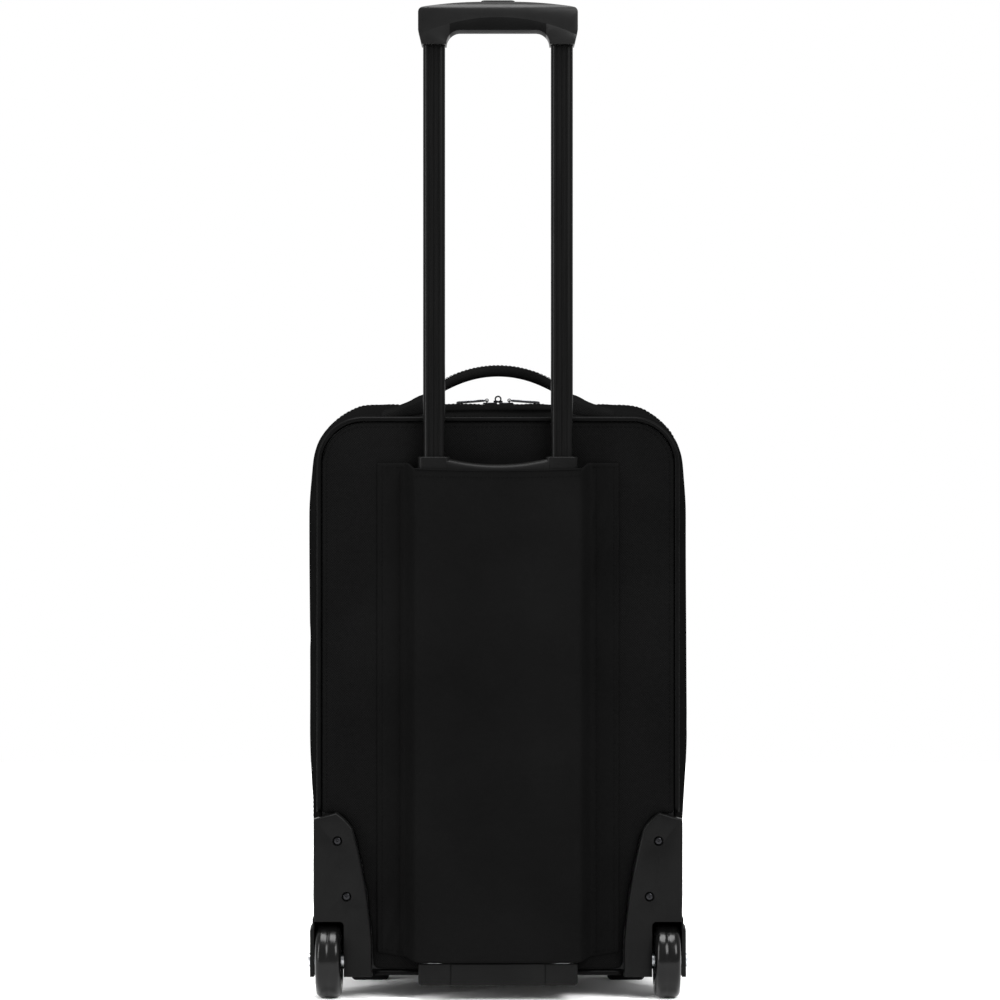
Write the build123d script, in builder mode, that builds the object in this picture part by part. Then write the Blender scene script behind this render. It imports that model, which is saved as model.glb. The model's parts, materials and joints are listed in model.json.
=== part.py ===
from build123d import *
import os

# Upright two-wheeled rolling case with a telescoping trolley handle, shown with
# the handle up. Millimetres. +Z is up, the front faces -Y, and the back, with
# the wheels and the trolley tubes, faces +Y. The origin is on the floor, under
# the middle of the case. Left is +X, which is the left side seen from behind.

# ---------------------------------------------------------------- soft body
case_w = 360.0  # across the zip line, the widest place
case_h = 543.0  # underside to crown at the zip line
ground = 20.0  # floor to underside at the zip line
tray_depth = 142.0  # back panel to zip line
lid_depth = 34.0  # zip line to front panel
pocket_depth = 24.0  # front panel to pocket face
rear_proud = 28.0  # wheels and trolley grip stand behind the back panel

back_side_inset = 12.0  # the back panel is smaller than the zip line by these
back_top_inset = 19.0
back_low_inset = 4.0
front_inset = 4.0
zip_corner = 60.0
back_corner = 42.0
front_corner = 52.0

skin = 2.5  # foam-backed fabric of the side walls
panel = 4.0  # foam-backed fabric of the back and front panels
board = 3.0  # stiff sheet inside the back panel
hoop_wall = 2.5  # stiff strip inside the side walls
hoop_short = 10.0  # the strip stops this far behind the zip line
lining = 0.8
gap = 0.2  # between stacked layers
piping_r = 2.4
piping_sink = 1.0  # piping's centre below the panel's outer face

chain_half = 5.0  # zip line to the edge of the side wall
chain_split = 0.6  # zip line to the teeth
tape_t = 1.2
tape_sink = 0.7
teeth_t = 2.6
teeth_w = 2.6
zip_end = 56.0  # the main zip stops this far above the underside
welt_r = 3.0
welt_gap = 0.3

# ------------------------------------------------------------- front pocket
pocket_w = 284.0
pocket_h = 372.0
pocket_lift = 40.0  # above the lower edge of the front panel
pocket_corner = 34.0
pocket_draft = 4.0
band_depth = 3.0  # zip band between the front panel and the flap
band_wall = 3.4
flap_gap = 0.8
flap_skin = 2.5
flap_face = 4.0
flap_cord = 0.7  # round cord that the flap hinges on

# ----------------------------------------------------------- trolley handle
tube_gap = 119.6  # centre to centre
tube_w = 20.6
tube_d = 14.0
tube_r = 5.0
tube_wall = 1.2
glide = 0.8  # all round the moving tube inside the fixed tube
fixed_wall = 1.5
tube_stand = 4.5  # fixed tube off the back panel
fit = 0.1  # round the ends of the fixed tubes
bezel_drop = 54.0  # crown of the case to the top of the bezel
bezel_h = 25.0
bezel_lip = 9.0  # bezel above the fixed tube's end
bezel_side = 2.4
bezel_rear_wall = 1.4
bezel_slot = 0.35  # all round the moving tube in the bezel
scoop = 7.0  # sag of the bezel's crossbar
bezel_rim = 1.2  # rounding of the collars' tops
bezel_bow = 6.0  # rounding of the crossbar's rear top edge
overlap = 91.3  # moving tube left inside when the handle is up
stow_low = 34.0  # end of the moving tube above the floor when it is down
stow_gap = 1.0
cup_low = 15.5
cup_h = 20.5
cup_floor = 4.5
cup_side = 2.0
cup_round = 1.6
cup_lip = 22.0  # reach of the cup under the case
cup_recess = 2.6  # for the heads of the screws under it

grip_over = 14.7  # tube's centre line to the grip's end
grip_h = 40.7  # lobe bottoms to the crown
grip_fall = 5.2  # the crown falls this much towards the ends
grip_d = 25.0
grip_lift = 13.0  # lobe bottoms to the underside of the bar
grip_round = 9.0
lobe_wall = 1.3
lobe_floor = 3.0  # cavity floor above the underside of the bar
grip_roof = 7.7
cavity_short = 10.5  # cavity ends this far inside the grip's ends
cavity_wall = 4.0
split_mid = 25.0  # parting line above the lobe bottoms, in the middle
split_end = 7.0  # and at the ends
pin_r = 1.6
pin_off = 6.0  # pin beside the tube's centre line, clear of the rod
pin_up = 9.0  # pin above the lobe bottoms
seat = 18.5  # moving tube pushed this far into the lobe
button_w = 32.0
button_d = 12.0
button_proud = 1.5
button_travel = 4.0
button_gap = 0.3
flange_more = 2.0
flange_t = 2.0
yoke_h = 5.0
yoke_d = 7.0
yoke_gap = 2.0  # pressed yoke above the tube ends
rod_r = 1.8
rod_gap = 0.3
latch_ratio = 0.6  # latch travel for each millimetre of button travel
latch_in = 5.0  # tube's centre line to the latch's inner end
latch_d = 4.0
latch_h = 10.0
latch_rest = 0.3  # latch tip off the groove's floor
latch_gap = 0.15
rod_dip = 4.2  # rod's tip below the latch's top when the button is up
ramp_gap = 0.15
block_h = 16.0
shoe_gap = 0.3  # all round the glide block in the fixed tube
plug_h = 18.0
groove = 0.8
groove_w = 5.0
spring_wire = 0.35
spring_r = 1.5
button_spring_wire = 0.6
button_spring_r = 2.6

# ------------------------------------------------------------------- wheels
wheel_d = 70.0
wheel_w = 24.0
rim_r = 23.0
tyre_shoulder = 6.0
hub_w = 23.0
hub_bore = 5.5
bearing_r = 11.0
bearing_w = 7.0
axle_r = 4.0
axle_fit = 0.03
axle_seat = 4.6  # axle's end inside the inner wall
axle_head_r = 6.5
axle_head_t = 2.4
spacer_r = 6.0
spacer_gap = 0.2
well_gap = 3.0
wheel_gap_in = 2.4
wheel_gap_out = 1.6

house_out = 5.0  # housing's side beyond the edge of the back panel
house_proud = 10.0  # housing's face behind the back panel
house_w = 54.5
house_h = 154.0
house_low = 21.0
house_wall = 3.0
house_round = 2.2
well_round = 4.0  # inner top corner of the wheel well
brow = 21.5  # peak of the housing in from its side
brow_drop = 6.0
shoulder_in = 36.5
shoulder_drop = 15.0
waist_in = 48.8
waist_up = 81.0
foot_up = 30.0
side_lip = 2.6
side_lip_l = 34.0
side_lip_top = 78.0  # side lip's height at its front end
bucket_wall = 6.0  # wall that takes the axle's end
cheek = 1.6
dome = 3.9
dome_r = 35.0
screw_r = 2.0
screw_fit = 0.1
screw_head_r = 3.8
screw_head_t = 2.2
recess_r = 4.7
recess = 3.0
boss_r = 6.4
upper_screw = (22.3, 127.7)  # in from the housing's side, up from its foot
lower_screw = (30.9, 75.5)

# -------------------------------------------------- feet, cover and fittings
foot_x = 125.0
foot_w = 36.0
foot_l = 24.0
foot_back = 18.0  # foot's centre behind the zip line
foot_sink = 6.0  # screw head's seat above the floor
cover_margin = 27.0  # flat fabric sewn down on each side
cover_slope = 9.0
cover_side_room = 2.7  # bezel to the fold of the cover
cover_t = 1.2
cover_gap = 0.3
cover_over_cup = 0.5
cover_margin_up = 8.5  # margins end above the middle's lower edge by this
cover_margin_top = 5.5
bezel_show = 11.0  # bezel left showing above the cover
anchor_x = 88.0
anchor_w = 38.0
anchor_d = 34.0
anchor_t = 2.5
strap_d = 28.0
strap_t = 10.0
strap_span = 160.0
strap_rise = 39.5
strap_foot = 2.5  # strap's centre line above the case where it ends
handle_fore = 41.0  # carry handle's middle in front of the back panel
sleeve_w = 286.0
sleeve_h = 300.0
sleeve_slot = 25.0
sleeve_pad = 6.0
sleeve_room = 10.0  # sleeve above the wheel wells

slider_l = 14.0
slider_w = 9.4
slider_t = 1.6
slider_gap = 0.5
slider_off = 8.0  # slider's middle from the centre line
post_l = 5.0
post_t = 0.7
bail_r = 0.8
bail_w = 6.0
bail_gap = 0.3
bail_post = 0.8
bail_off = 3.0
pull_l = 30.0
pull_w = 7.0
pull_t = 1.8
eye_r = 1.9
eye_w = 3.8
lug_r = 3.5
lug_hole = 2.0
lug_t = 1.8
lug_split = 0.2
lug_up = 3.4
pocket_slider_w = 6.0
pocket_slider_z = 44.0  # slider's middle above the pocket's lower edge
pocket_post_t = 0.3

# -------------------------------------------------------- worked-out places
y_rear = (rear_proud + tray_depth + lid_depth + pocket_depth) / 2
y_back = y_rear - rear_proud
y_zip = y_back - tray_depth
y_front = y_zip - lid_depth
y_pocket = y_front - pocket_depth
crown = ground + case_h
half_w = case_w / 2

# Half width, lower edge, upper edge and corner radius of the three outlines
BACK = (half_w - back_side_inset, ground + back_low_inset, crown - back_top_inset, back_corner)
ZIP = (half_w, ground, crown, zip_corner)
FRONT = (half_w - front_inset, ground + front_inset, crown - front_inset, front_corner)

y_board = y_back - panel - gap
y_hoop = y_board - board - gap
y_lining = y_hoop
hoop_inset = skin + gap
lining_inset = hoop_inset + hoop_wall + gap

axle_y = y_rear - wheel_d / 2
axle_z = wheel_d / 2
side_x = BACK[0] + house_out
well_out = side_x - 0.4
wheel_x = well_out - wheel_gap_out - wheel_w / 2
well_in = wheel_x - wheel_w / 2 - wheel_gap_in
well_front = axle_y - wheel_d / 2 - well_gap
well_top = wheel_d + well_gap
house_rear = y_back + house_proud
house_top = house_low + house_h
screw_spots = [(side_x - x, house_low + z) for x, z in (upper_screw, lower_screw)]

fixed_w = tube_w + 2 * (glide + fixed_wall)
fixed_d = tube_d + 2 * (glide + fixed_wall)
fixed_r = tube_r + glide + fixed_wall
tube_x = tube_gap / 2
tube_y = y_back + tube_stand + fixed_d / 2
bezel_top = crown - bezel_drop
bezel_low = bezel_top - bezel_h
bezel_rear = tube_y + fixed_d / 2 + bezel_rear_wall
bezel_out = tube_x + fixed_w / 2 + bezel_side
bezel_in = tube_x - fixed_w / 2 - bezel_side
cup_top = cup_low + cup_h
cup_out = tube_x + fixed_w / 2 + cup_side
tube_foot = cup_low + cup_floor
tube_end = bezel_top - overlap
travel = tube_end - stow_low
lobe_low = bezel_top + stow_gap + travel
grip_top = lobe_low + grip_h
grip_half = tube_x + grip_over
bar_low = lobe_low + grip_lift
cavity_low = bar_low + lobe_floor
cavity_top = grip_top - grip_roof
tube_top = lobe_low + seat
yoke_low = tube_top + button_travel + yoke_gap
yoke_top = yoke_low + yoke_h
latch_z = tube_end + block_h / 2
latch_top = latch_z + latch_h / 2
latch_tip = tube_w / 2 + glide + groove - latch_rest
latch_draw = button_travel * latch_ratio
rod_low = latch_top - rod_dip
cover_low = cup_top + cover_over_cup
cover_top = bezel_top - bezel_show
cover_in = bezel_rear + cover_gap
handle_y = y_back - handle_fore
pocket_low = FRONT[1] + pocket_lift
y_band = y_front - band_depth
y_flap = y_band - flap_gap


# ------------------------------------------------------------ shared shapes
def across(y):
    """The plane across the case at depth y, with local x along X and local y along Z."""
    return Plane.XZ.offset(-y)


def outline(y):
    """Half width, lower edge, upper edge and corner radius of the case at depth y."""
    near, far, share = BACK, ZIP, (y_back - y) / tray_depth
    if y < y_zip:
        near, far, share = ZIP, FRONT, (y_zip - y) / lid_depth
    return [a + share * (b - a) for a, b in zip(near, far)]


def case_block(y_from, y_to, inset=0.0):
    """The case between two depths on one side of the zip line, as a filled solid."""
    with BuildPart() as block:
        for y in (y_from, y_to):
            half, low, top, corner = outline(y)
            with BuildSketch(across(y)):
                with Locations((0, (low + top) / 2)):
                    RectangleRounded(2 * (half - inset), top - low - 2 * inset, corner - inset)
        loft(ruled=True)
    return block.part


def case_hoop(y_from, y_to, inset, wall):
    """A strip of one thickness that follows the case's outline."""
    with BuildPart() as hoop:
        add(case_block(y_from, y_to, inset))
        add(case_block(y_from, y_to, inset + wall), mode=Mode.SUBTRACT)
    return hoop.part


def case_welt(y_panel, y_inward):
    """Piping round the edge of a panel, without the part that lies inside the case."""
    depth = y_panel + piping_sink * (1 if y_inward > y_panel else -1)
    half, low, top, corner = outline(depth)
    with BuildSketch(across(depth), mode=Mode.PRIVATE) as loop:
        with Locations((0, (low + top) / 2)):
            RectangleRounded(2 * half, top - low, corner)
    path = loop.sketch.faces()[0].outer_wire()
    with BuildPart() as welt:
        with BuildSketch(Plane(origin=path @ 0, z_dir=path % 0)):
            Circle(piping_r)
        sweep(path=path)
        add(case_block(y_panel, y_inward), mode=Mode.SUBTRACT)
    return welt.part


def pocket_block(y_from, y_to, inset=0.0):
    """The front pocket between two depths, drafted towards its face, as a filled solid."""
    with BuildPart() as block:
        for y in (y_from, y_to):
            draft = pocket_draft * (y_front - y) / pocket_depth + inset
            with BuildSketch(across(y)):
                with Locations((0, pocket_low + pocket_h / 2)):
                    RectangleRounded(pocket_w - 2 * draft, pocket_h - 2 * draft, pocket_corner - draft)
        loft(ruled=True)
    return block.part


def slab(x, y, z):
    """A plain block from its (low, high) pairs along X, Y and Z."""
    with BuildPart() as block:
        with Locations((sum(x) / 2, sum(y) / 2, sum(z) / 2)):
            Box(x[1] - x[0], y[1] - y[0], z[1] - z[0])
    return block.part


def tube_bar(low, high, width, depth, radius):
    """An upright rounded bar on the left trolley tube's centre line."""
    with BuildPart() as bar:
        with BuildSketch(Plane.XY.offset(low)):
            with Locations((tube_x, tube_y)):
                RectangleRounded(width, depth, radius)
        extrude(amount=high - low)
    return bar.part


def pins(plane, spots, radius, length):
    """Round bars of one size from a plane, at spots in that plane."""
    with BuildPart() as bars:
        with BuildSketch(plane):
            with Locations(*spots):
                Circle(radius)
        extrude(amount=length)
    return bars.part


def screws(plane, spots, length, countersink=0.0):
    """Pan-head screws whose heads sit on a plane's lower side and whose shanks go along it."""
    with BuildPart() as group:
        add(pins(plane, spots, screw_r, length))
        add(pins(plane.offset(-screw_head_t), spots, screw_head_r, screw_head_t))
        drive = pins(plane.offset(-screw_head_t), spots, screw_r / 2, screw_head_t / 2)
        add(drive, mode=Mode.SUBTRACT)
    return group.part


def both(spots):
    """The spots and their mirror images across X = 0."""
    return [(sign * x, other) for sign in (1, -1) for x, other in spots]


pieces = {}


def keep(label, part):
    pieces[label] = part


def keep_pair(label, part):
    """The left piece and its mirror image on the right."""
    keep(f"{label}_left", part)
    keep(f"{label}_right", mirror(part, about=Plane.YZ))


# ----------------------------------------------------------- wheel housings
def housing_face(inset=0.0):
    """Outline of the left wheel housing's face, in the XZ plane."""
    with BuildSketch(across(house_rear), mode=Mode.PRIVATE) as face:
        with BuildLine():
            sole = Line((side_x - house_w, house_low), (side_x, house_low))
            edge = Line(sole @ 1, (side_x, house_top - brow_drop))
            top = Line(edge @ 1, (side_x - brow, house_top))
            nose = ThreePointArc(
                top @ 1,
                (side_x - (0.35 * brow + 0.65 * shoulder_in), house_top - 0.55 * shoulder_drop),
                (side_x - shoulder_in, house_top - shoulder_drop),
            )
            flank = ThreePointArc(
                nose @ 1,
                (side_x - waist_in, house_low + waist_up),
                (side_x - house_w, house_low + foot_up),
            )
            Line(flank @ 1, sole @ 0)
        make_face()
        if inset:
            offset(amount=-inset, kind=Kind.INTERSECTION, mode=Mode.REPLACE)
    return face.sketch


def housing_space():
    """The room that the left wheel housing takes out of the case, with a clearance."""
    with BuildPart() as space:
        extrude(housing_face(-gap), amount=house_proud + panel + gap)
        add(slab((side_x - 20, side_x + 20), (y_back - panel - gap, house_rear), (0, house_top - brow_drop)))
        add(slab(
            (well_in - bucket_wall - gap, side_x + 20),
            (well_front - house_wall - gap, house_rear),
            (0, well_top + house_wall + gap),
        ))
    return space.part


house_room = housing_space()
house_rooms = house_room + mirror(house_room, about=Plane.YZ)

with BuildPart() as side_flap:
    with BuildSketch(Plane.YZ.offset(side_x)):
        with BuildLine():
            front = house_rear - side_lip_l
            lip_rear = house_rear - house_round
            foot = Line((front, house_low), (lip_rear, house_low))
            rise = Line(foot @ 1, (lip_rear, house_top - brow_drop))
            slope = ThreePointArc(
                rise @ 1,
                (house_rear - 0.38 * side_lip_l, house_low + 0.78 * (house_h - brow_drop)),
                (front, house_low + side_lip_top),
            )
            Line(slope @ 1, foot @ 0)
        make_face()
    extrude(amount=-side_lip)

with BuildPart() as axle_dome:
    with BuildSketch(Plane.YZ.offset(well_out)):
        with Locations((axle_y, axle_z)):
            Circle(dome_r)
    extrude(amount=dome)
    chamfer(axle_dome.edges().group_by(Axis.X)[-1], 0.6 * dome)
    dome_y = (well_front - house_wall, house_rear - house_round)
    dome_room = slab((side_x - 9, side_x + 9), dome_y, (house_low, house_top))
    add(dome_room, mode=Mode.INTERSECT)

with BuildPart() as housing:
    extrude(housing_face(), amount=house_proud + panel)
    fillet(housing.faces().sort_by(Axis.Y)[-1].edges(), house_round)
    extrude(
        housing_face(house_wall).moved(Location((0, -house_wall, 0))),
        amount=house_proud + panel,
        mode=Mode.SUBTRACT,
    )
    add(pins(across(house_rear - recess), screw_spots, boss_r, house_proud + panel - recess))
    add(side_flap.part)
    bucket_z = (house_low, well_top + house_wall)
    for bucket_x, bucket_rear in (
        ((well_in - bucket_wall, side_x), house_rear - house_wall),
        ((side_x - side_lip, well_out + cheek), house_rear - house_round),
    ):
        add(slab(bucket_x, (well_front - house_wall, bucket_rear), bucket_z))
    add(axle_dome.part)
    well_x = (well_in, well_out)
    add(slab(well_x, (well_front, house_rear + 9), (0, well_top)), mode=Mode.SUBTRACT)
    lengthwise = housing.edges().filter_by(Axis.Y)
    by_wheel = lengthwise.filter_by(lambda e: abs(e.center().X - well_in) < 0.1)
    fillet(by_wheel.filter_by(lambda e: abs(e.center().Z - well_top) < 0.1), well_round)
    bore_start = well_in - axle_seat - gap
    bore = pins(Plane.YZ.offset(bore_start), [(axle_y, axle_z)], axle_r + axle_fit, 2 * wheel_w)
    add(bore, mode=Mode.SUBTRACT)
    add(pins(across(house_rear), screw_spots, recess_r, recess), mode=Mode.SUBTRACT)
    add(pins(across(house_rear), screw_spots, screw_r + screw_fit, 2 * house_proud), mode=Mode.SUBTRACT)
keep_pair("wheel_housing", housing.part)

screw_l = house_proud - recess + panel + gap + board - gap
with BuildPart() as housing_screws:
    add(screws(across(house_rear - recess), both(screw_spots), screw_l))
keep("housing_screws", housing_screws.part)
board_holes = pins(across(y_back), both(screw_spots), screw_r + screw_fit, panel + board + gap)

# ------------------------------------------------------------- wheels, axles
axle_start = well_in - axle_seat
axle_end = well_out + dome
with BuildPart() as axle:
    add(pins(Plane.YZ.offset(axle_start), [(axle_y, axle_z)], axle_r, axle_end - axle_start))
    add(pins(Plane.YZ.offset(axle_end), [(axle_y, axle_z)], axle_head_r, axle_head_t))
    chamfer(axle.edges().filter_by(GeomType.CIRCLE).group_by(Axis.X)[-1], 0.8)
    chamfer(axle.edges().filter_by(GeomType.CIRCLE).group_by(Axis.X)[0], 0.5)
keep_pair("axle", axle.part)

hub_in = wheel_x - hub_w / 2
hub_out = wheel_x + hub_w / 2
with BuildPart() as spacer_pair:
    for start, end in ((well_in + gap, hub_in - spacer_gap), (hub_out + spacer_gap, well_out - gap)):
        with BuildSketch(Plane.YZ.offset(start)):
            with Locations((axle_y, axle_z)):
                Circle(spacer_r)
                Circle(axle_r + axle_fit, mode=Mode.SUBTRACT)
        extrude(amount=end - start)
with BuildPart() as axle_spacers:
    add(spacer_pair.part)
    mirror(about=Plane.YZ)
keep("axle_spacers", axle_spacers.part)

with BuildPart() as tyre:
    with BuildSketch(Plane.YZ.offset(wheel_x - wheel_w / 2)):
        with Locations((axle_y, axle_z)):
            Circle(wheel_d / 2)
            Circle(rim_r, mode=Mode.SUBTRACT)
    extrude(amount=wheel_w)
    outer = tyre.edges().filter_by(GeomType.CIRCLE).filter_by(lambda e: e.radius > rim_r + 1)
    fillet(outer, tyre_shoulder)
keep_pair("wheel_tyre", tyre.part)

with BuildPart() as hub:
    with BuildSketch(Plane.YZ.offset(hub_in)):
        with Locations((axle_y, axle_z)):
            Circle(rim_r)
            Circle(hub_bore, mode=Mode.SUBTRACT)
    extrude(amount=hub_w)
    for end, inward in ((hub_in, 1), (hub_out, -1)):
        seat_plane = Plane.YZ.offset(end)
        add(pins(seat_plane, [(axle_y, axle_z)], bearing_r, inward * bearing_w), mode=Mode.SUBTRACT)
        with BuildSketch(seat_plane):
            with Locations((axle_y, axle_z)):
                Circle(rim_r - 4)
                Circle(bearing_r + 3, mode=Mode.SUBTRACT)
        extrude(amount=inward * bearing_w, mode=Mode.SUBTRACT)
keep_pair("wheel_hub", hub.part)

with BuildPart() as bearings:
    for start in (hub_in, hub_out - bearing_w):
        with BuildSketch(Plane.YZ.offset(start)):
            with Locations((axle_y, axle_z)):
                Circle(bearing_r)
                Circle(axle_r + axle_fit, mode=Mode.SUBTRACT)
        extrude(amount=bearing_w)
keep_pair("wheel_bearings", bearings.part)

# ---------------------------------------------------------------- soft case
foot_y = y_zip + foot_back
foot_spots = both([(foot_x, foot_y)])
foot_holes = pins(Plane.XY, foot_spots, screw_r + screw_fit, ground + 12)
cup_screw_y = y_back - cup_lip / 2
cup_spots = both([(tube_x, cup_screw_y)])
cup_holes = pins(Plane.XY, cup_spots, screw_r + screw_fit, ground + 12)
bezel_spots = both([(bezel_in - 8, bezel_low + 4.5)])
bezel_holes = pins(across(bezel_rear), bezel_spots, screw_r + screw_fit, bezel_rear - y_board + board)
welt_end = half_w - zip_corner
welt_room = pins(Plane.YZ.offset(-welt_end - 1), [(y_zip, ground)], welt_r + welt_gap, 2 * welt_end + 2)
zip_floor = ground + zip_end
below_zip = slab((-half_w - 9, half_w + 9), (y_zip - lid_depth, y_zip + tray_depth), (0, zip_floor))


def zip_row(inward):
    """Tape and teeth on one side of the zip line, above the zip's ends."""
    y_teeth = y_zip + inward * chain_split
    with BuildPart() as row:
        add(case_hoop(y_zip + inward * chain_half, y_teeth, tape_sink, tape_t))
        add(case_hoop(y_zip + inward * (chain_split + teeth_w), y_teeth, 0, teeth_t))
        add(below_zip, mode=Mode.SUBTRACT)
    return row.part


def side_wall(y_panel, inward):
    """Fabric wall from a panel to the zip line, open where the zip is."""
    with BuildPart() as zip_room:
        add(case_hoop(y_zip + inward * chain_half, y_zip + inward * chain_split, -1, skin + 2))
        add(below_zip, mode=Mode.SUBTRACT)
    with BuildPart() as wall:
        add(case_hoop(y_panel, y_zip + inward * chain_split, 0, skin))
        add(zip_room.part, mode=Mode.SUBTRACT)
        add(welt_room, mode=Mode.SUBTRACT)
    return wall.part


with BuildPart() as rear_gusset:
    add(side_wall(y_back, 1))
    add(house_rooms, mode=Mode.SUBTRACT)
    add(foot_holes, mode=Mode.SUBTRACT)
    add(cup_holes, mode=Mode.SUBTRACT)
keep("rear_gusset", rear_gusset.part)

with BuildPart() as back_panel:
    add(case_block(y_back, y_back - panel, skin))
    add(house_rooms, mode=Mode.SUBTRACT)
    add(bezel_holes, mode=Mode.SUBTRACT)
keep("back_panel", back_panel.part)

with BuildPart() as back_board:
    add(case_block(y_board, y_board - board, skin + gap))
    add(house_rooms, mode=Mode.SUBTRACT)
    add(board_holes, mode=Mode.SUBTRACT)
    add(bezel_holes, mode=Mode.SUBTRACT)
keep("back_board", back_board.part)

with BuildPart() as gusset_frame:
    add(case_hoop(y_hoop, y_zip + hoop_short, hoop_inset, hoop_wall))
    add(house_rooms, mode=Mode.SUBTRACT)
    add(foot_holes, mode=Mode.SUBTRACT)
    add(cup_holes, mode=Mode.SUBTRACT)
keep("gusset_frame", gusset_frame.part)

with BuildPart() as case_lining:
    add(case_block(y_lining, y_zip + chain_half, lining_inset))
    add(case_block(y_lining - lining, y_zip + chain_half, lining_inset + lining), mode=Mode.SUBTRACT)
    add(house_rooms, mode=Mode.SUBTRACT)
keep("case_lining", case_lining.part)

with BuildPart() as rear_piping:
    add(case_welt(y_back, y_zip))
    add(house_rooms, mode=Mode.SUBTRACT)
keep("rear_piping", rear_piping.part)

keep("zip_half_case", zip_row(1))
keep("zip_half_lid", zip_row(-1))

with BuildPart() as lid_hinge_welt:
    add(pins(Plane.YZ.offset(-welt_end), [(y_zip, ground)], welt_r, 2 * welt_end))
keep("lid_hinge_welt", lid_hinge_welt.part)

keep("lid_gusset", side_wall(y_front, -1))

with BuildPart() as front_panel:
    add(case_block(y_front, y_front + panel, skin))
keep("front_panel", front_panel.part)

keep("front_piping", case_welt(y_front, y_zip))

with BuildPart() as lid_lining:
    y_inner = y_front + panel + gap
    add(case_block(y_inner, y_zip - chain_half, hoop_inset))
    add(case_block(y_inner + lining, y_zip - chain_half, hoop_inset + lining), mode=Mode.SUBTRACT)
keep("lid_lining", lid_lining.part)

with BuildPart() as sleeve:
    sleeve_half = sleeve_w / 2
    sleeve_low = well_top + house_wall + sleeve_room
    sleeve_back = y_lining - lining - gap
    sleeve_face = sleeve_back - sleeve_slot - sleeve_pad
    add(slab((-sleeve_half, sleeve_half), (sleeve_face, sleeve_back), (sleeve_low, sleeve_low + sleeve_h)))
    slot_x = (sleeve_pad - sleeve_half, sleeve_half - sleeve_pad)
    slot_z = (sleeve_low + sleeve_pad, sleeve_low + sleeve_h + 1)
    add(slab(slot_x, (sleeve_face + sleeve_pad, sleeve_back), slot_z), mode=Mode.SUBTRACT)
keep("laptop_sleeve", sleeve.part)

# -------------------------------------------------------------- front pocket
with BuildPart() as pocket_zip:
    add(pocket_block(y_front, y_band))
    add(pocket_block(y_front, y_band, band_wall), mode=Mode.SUBTRACT)
keep("pocket_zip", pocket_zip.part)

with BuildPart() as pocket_flap:
    add(pocket_block(y_flap, y_pocket))
    add(pocket_block(y_flap, y_pocket + flap_face, flap_skin), mode=Mode.SUBTRACT)
    fillet(pocket_flap.faces().sort_by(Axis.Y)[0].edges(), 1.5)
    cord_half = pocket_w / 2 - pocket_corner
    cord_spot = [(y_flap, pocket_low + flap_cord)]
    add(pins(Plane.YZ.offset(-cord_half), cord_spot, flap_cord, 2 * cord_half))
keep("pocket_flap", pocket_flap.part)

# ------------------------------------------------------------ trolley tubes
inner_w = tube_w + 2 * glide
inner_d = tube_d + 2 * glide
hole_d = latch_d + 0.6
hole_h = latch_h + 0.6
with BuildPart() as outer_tube:
    add(tube_bar(tube_foot, bezel_top - bezel_lip, fixed_w, fixed_d, fixed_r))
    add(tube_bar(tube_foot, bezel_top - bezel_lip, inner_w, inner_d, tube_r + glide), mode=Mode.SUBTRACT)
    wall_x = tube_x + inner_w / 2
    add(slab(
        (wall_x - 1, wall_x + groove),
        (tube_y - groove_w / 2, tube_y + groove_w / 2),
        (tube_foot, bezel_top),
    ), mode=Mode.SUBTRACT)
    for height in (latch_z, latch_z - travel):
        add(slab(
            (wall_x, wall_x + 9),
            (tube_y - hole_d / 2, tube_y + hole_d / 2),
            (height - hole_h / 2, height + hole_h / 2),
        ), mode=Mode.SUBTRACT)
keep_pair("outer_tube", outer_tube.part)

collar_w = fixed_w + 2 * bezel_side
collar_front = y_back + gap
with BuildPart() as bezel_end:
    with BuildSketch(Plane.XY.offset(bezel_low)):
        with Locations((tube_x, (collar_front + bezel_rear) / 2)):
            RectangleRounded(collar_w, bezel_rear - collar_front, 5)
    extrude(amount=bezel_h)
    fillet(bezel_end.faces().sort_by(Axis.Z)[-1].edges(), bezel_rim)
with BuildPart() as crossbar:
    with BuildSketch(across(bezel_rear)):
        with BuildLine():
            bar_top = bezel_top - bezel_rim
            arc = ThreePointArc((-bezel_in - 3, bar_top), (0, bezel_top - scoop), (bezel_in + 3, bar_top))
            Polyline(arc @ 1, (bezel_in + 3, bezel_low), (-bezel_in - 3, bezel_low), arc @ 0)
        make_face()
    extrude(amount=bezel_rear - collar_front)
    fillet(crossbar.edges().filter_by(GeomType.CIRCLE).sort_by(Axis.Y)[-1], bezel_bow)
with BuildPart() as tube_bezel:
    add(bezel_end.part)
    mirror(about=Plane.YZ)
    add(crossbar.part)
    tube_end_room = tube_bar(
        bezel_low, bezel_top - bezel_lip, fixed_w + 2 * fit, fixed_d + 2 * fit, fixed_r + fit
    )
    slot_room = tube_bar(
        bezel_low, bezel_top, tube_w + 2 * bezel_slot, tube_d + 2 * bezel_slot, tube_r + bezel_slot
    )
    for room in (tube_end_room, slot_room):
        add(room, mode=Mode.SUBTRACT)
        add(mirror(room, about=Plane.YZ), mode=Mode.SUBTRACT)
    add(bezel_holes, mode=Mode.SUBTRACT)
    add(pins(across(bezel_rear), bezel_spots, recess_r, recess), mode=Mode.SUBTRACT)
keep("tube_bezel", tube_bezel.part)

groove_y = (y_back - piping_sink - piping_r - gap, y_back + piping_r)
groove_z = (ground + back_low_inset - piping_r - gap, ground + back_low_inset + piping_r)
piping_groove = slab((-cup_out - 1, cup_out + 1), groove_y, groove_z)

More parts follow.
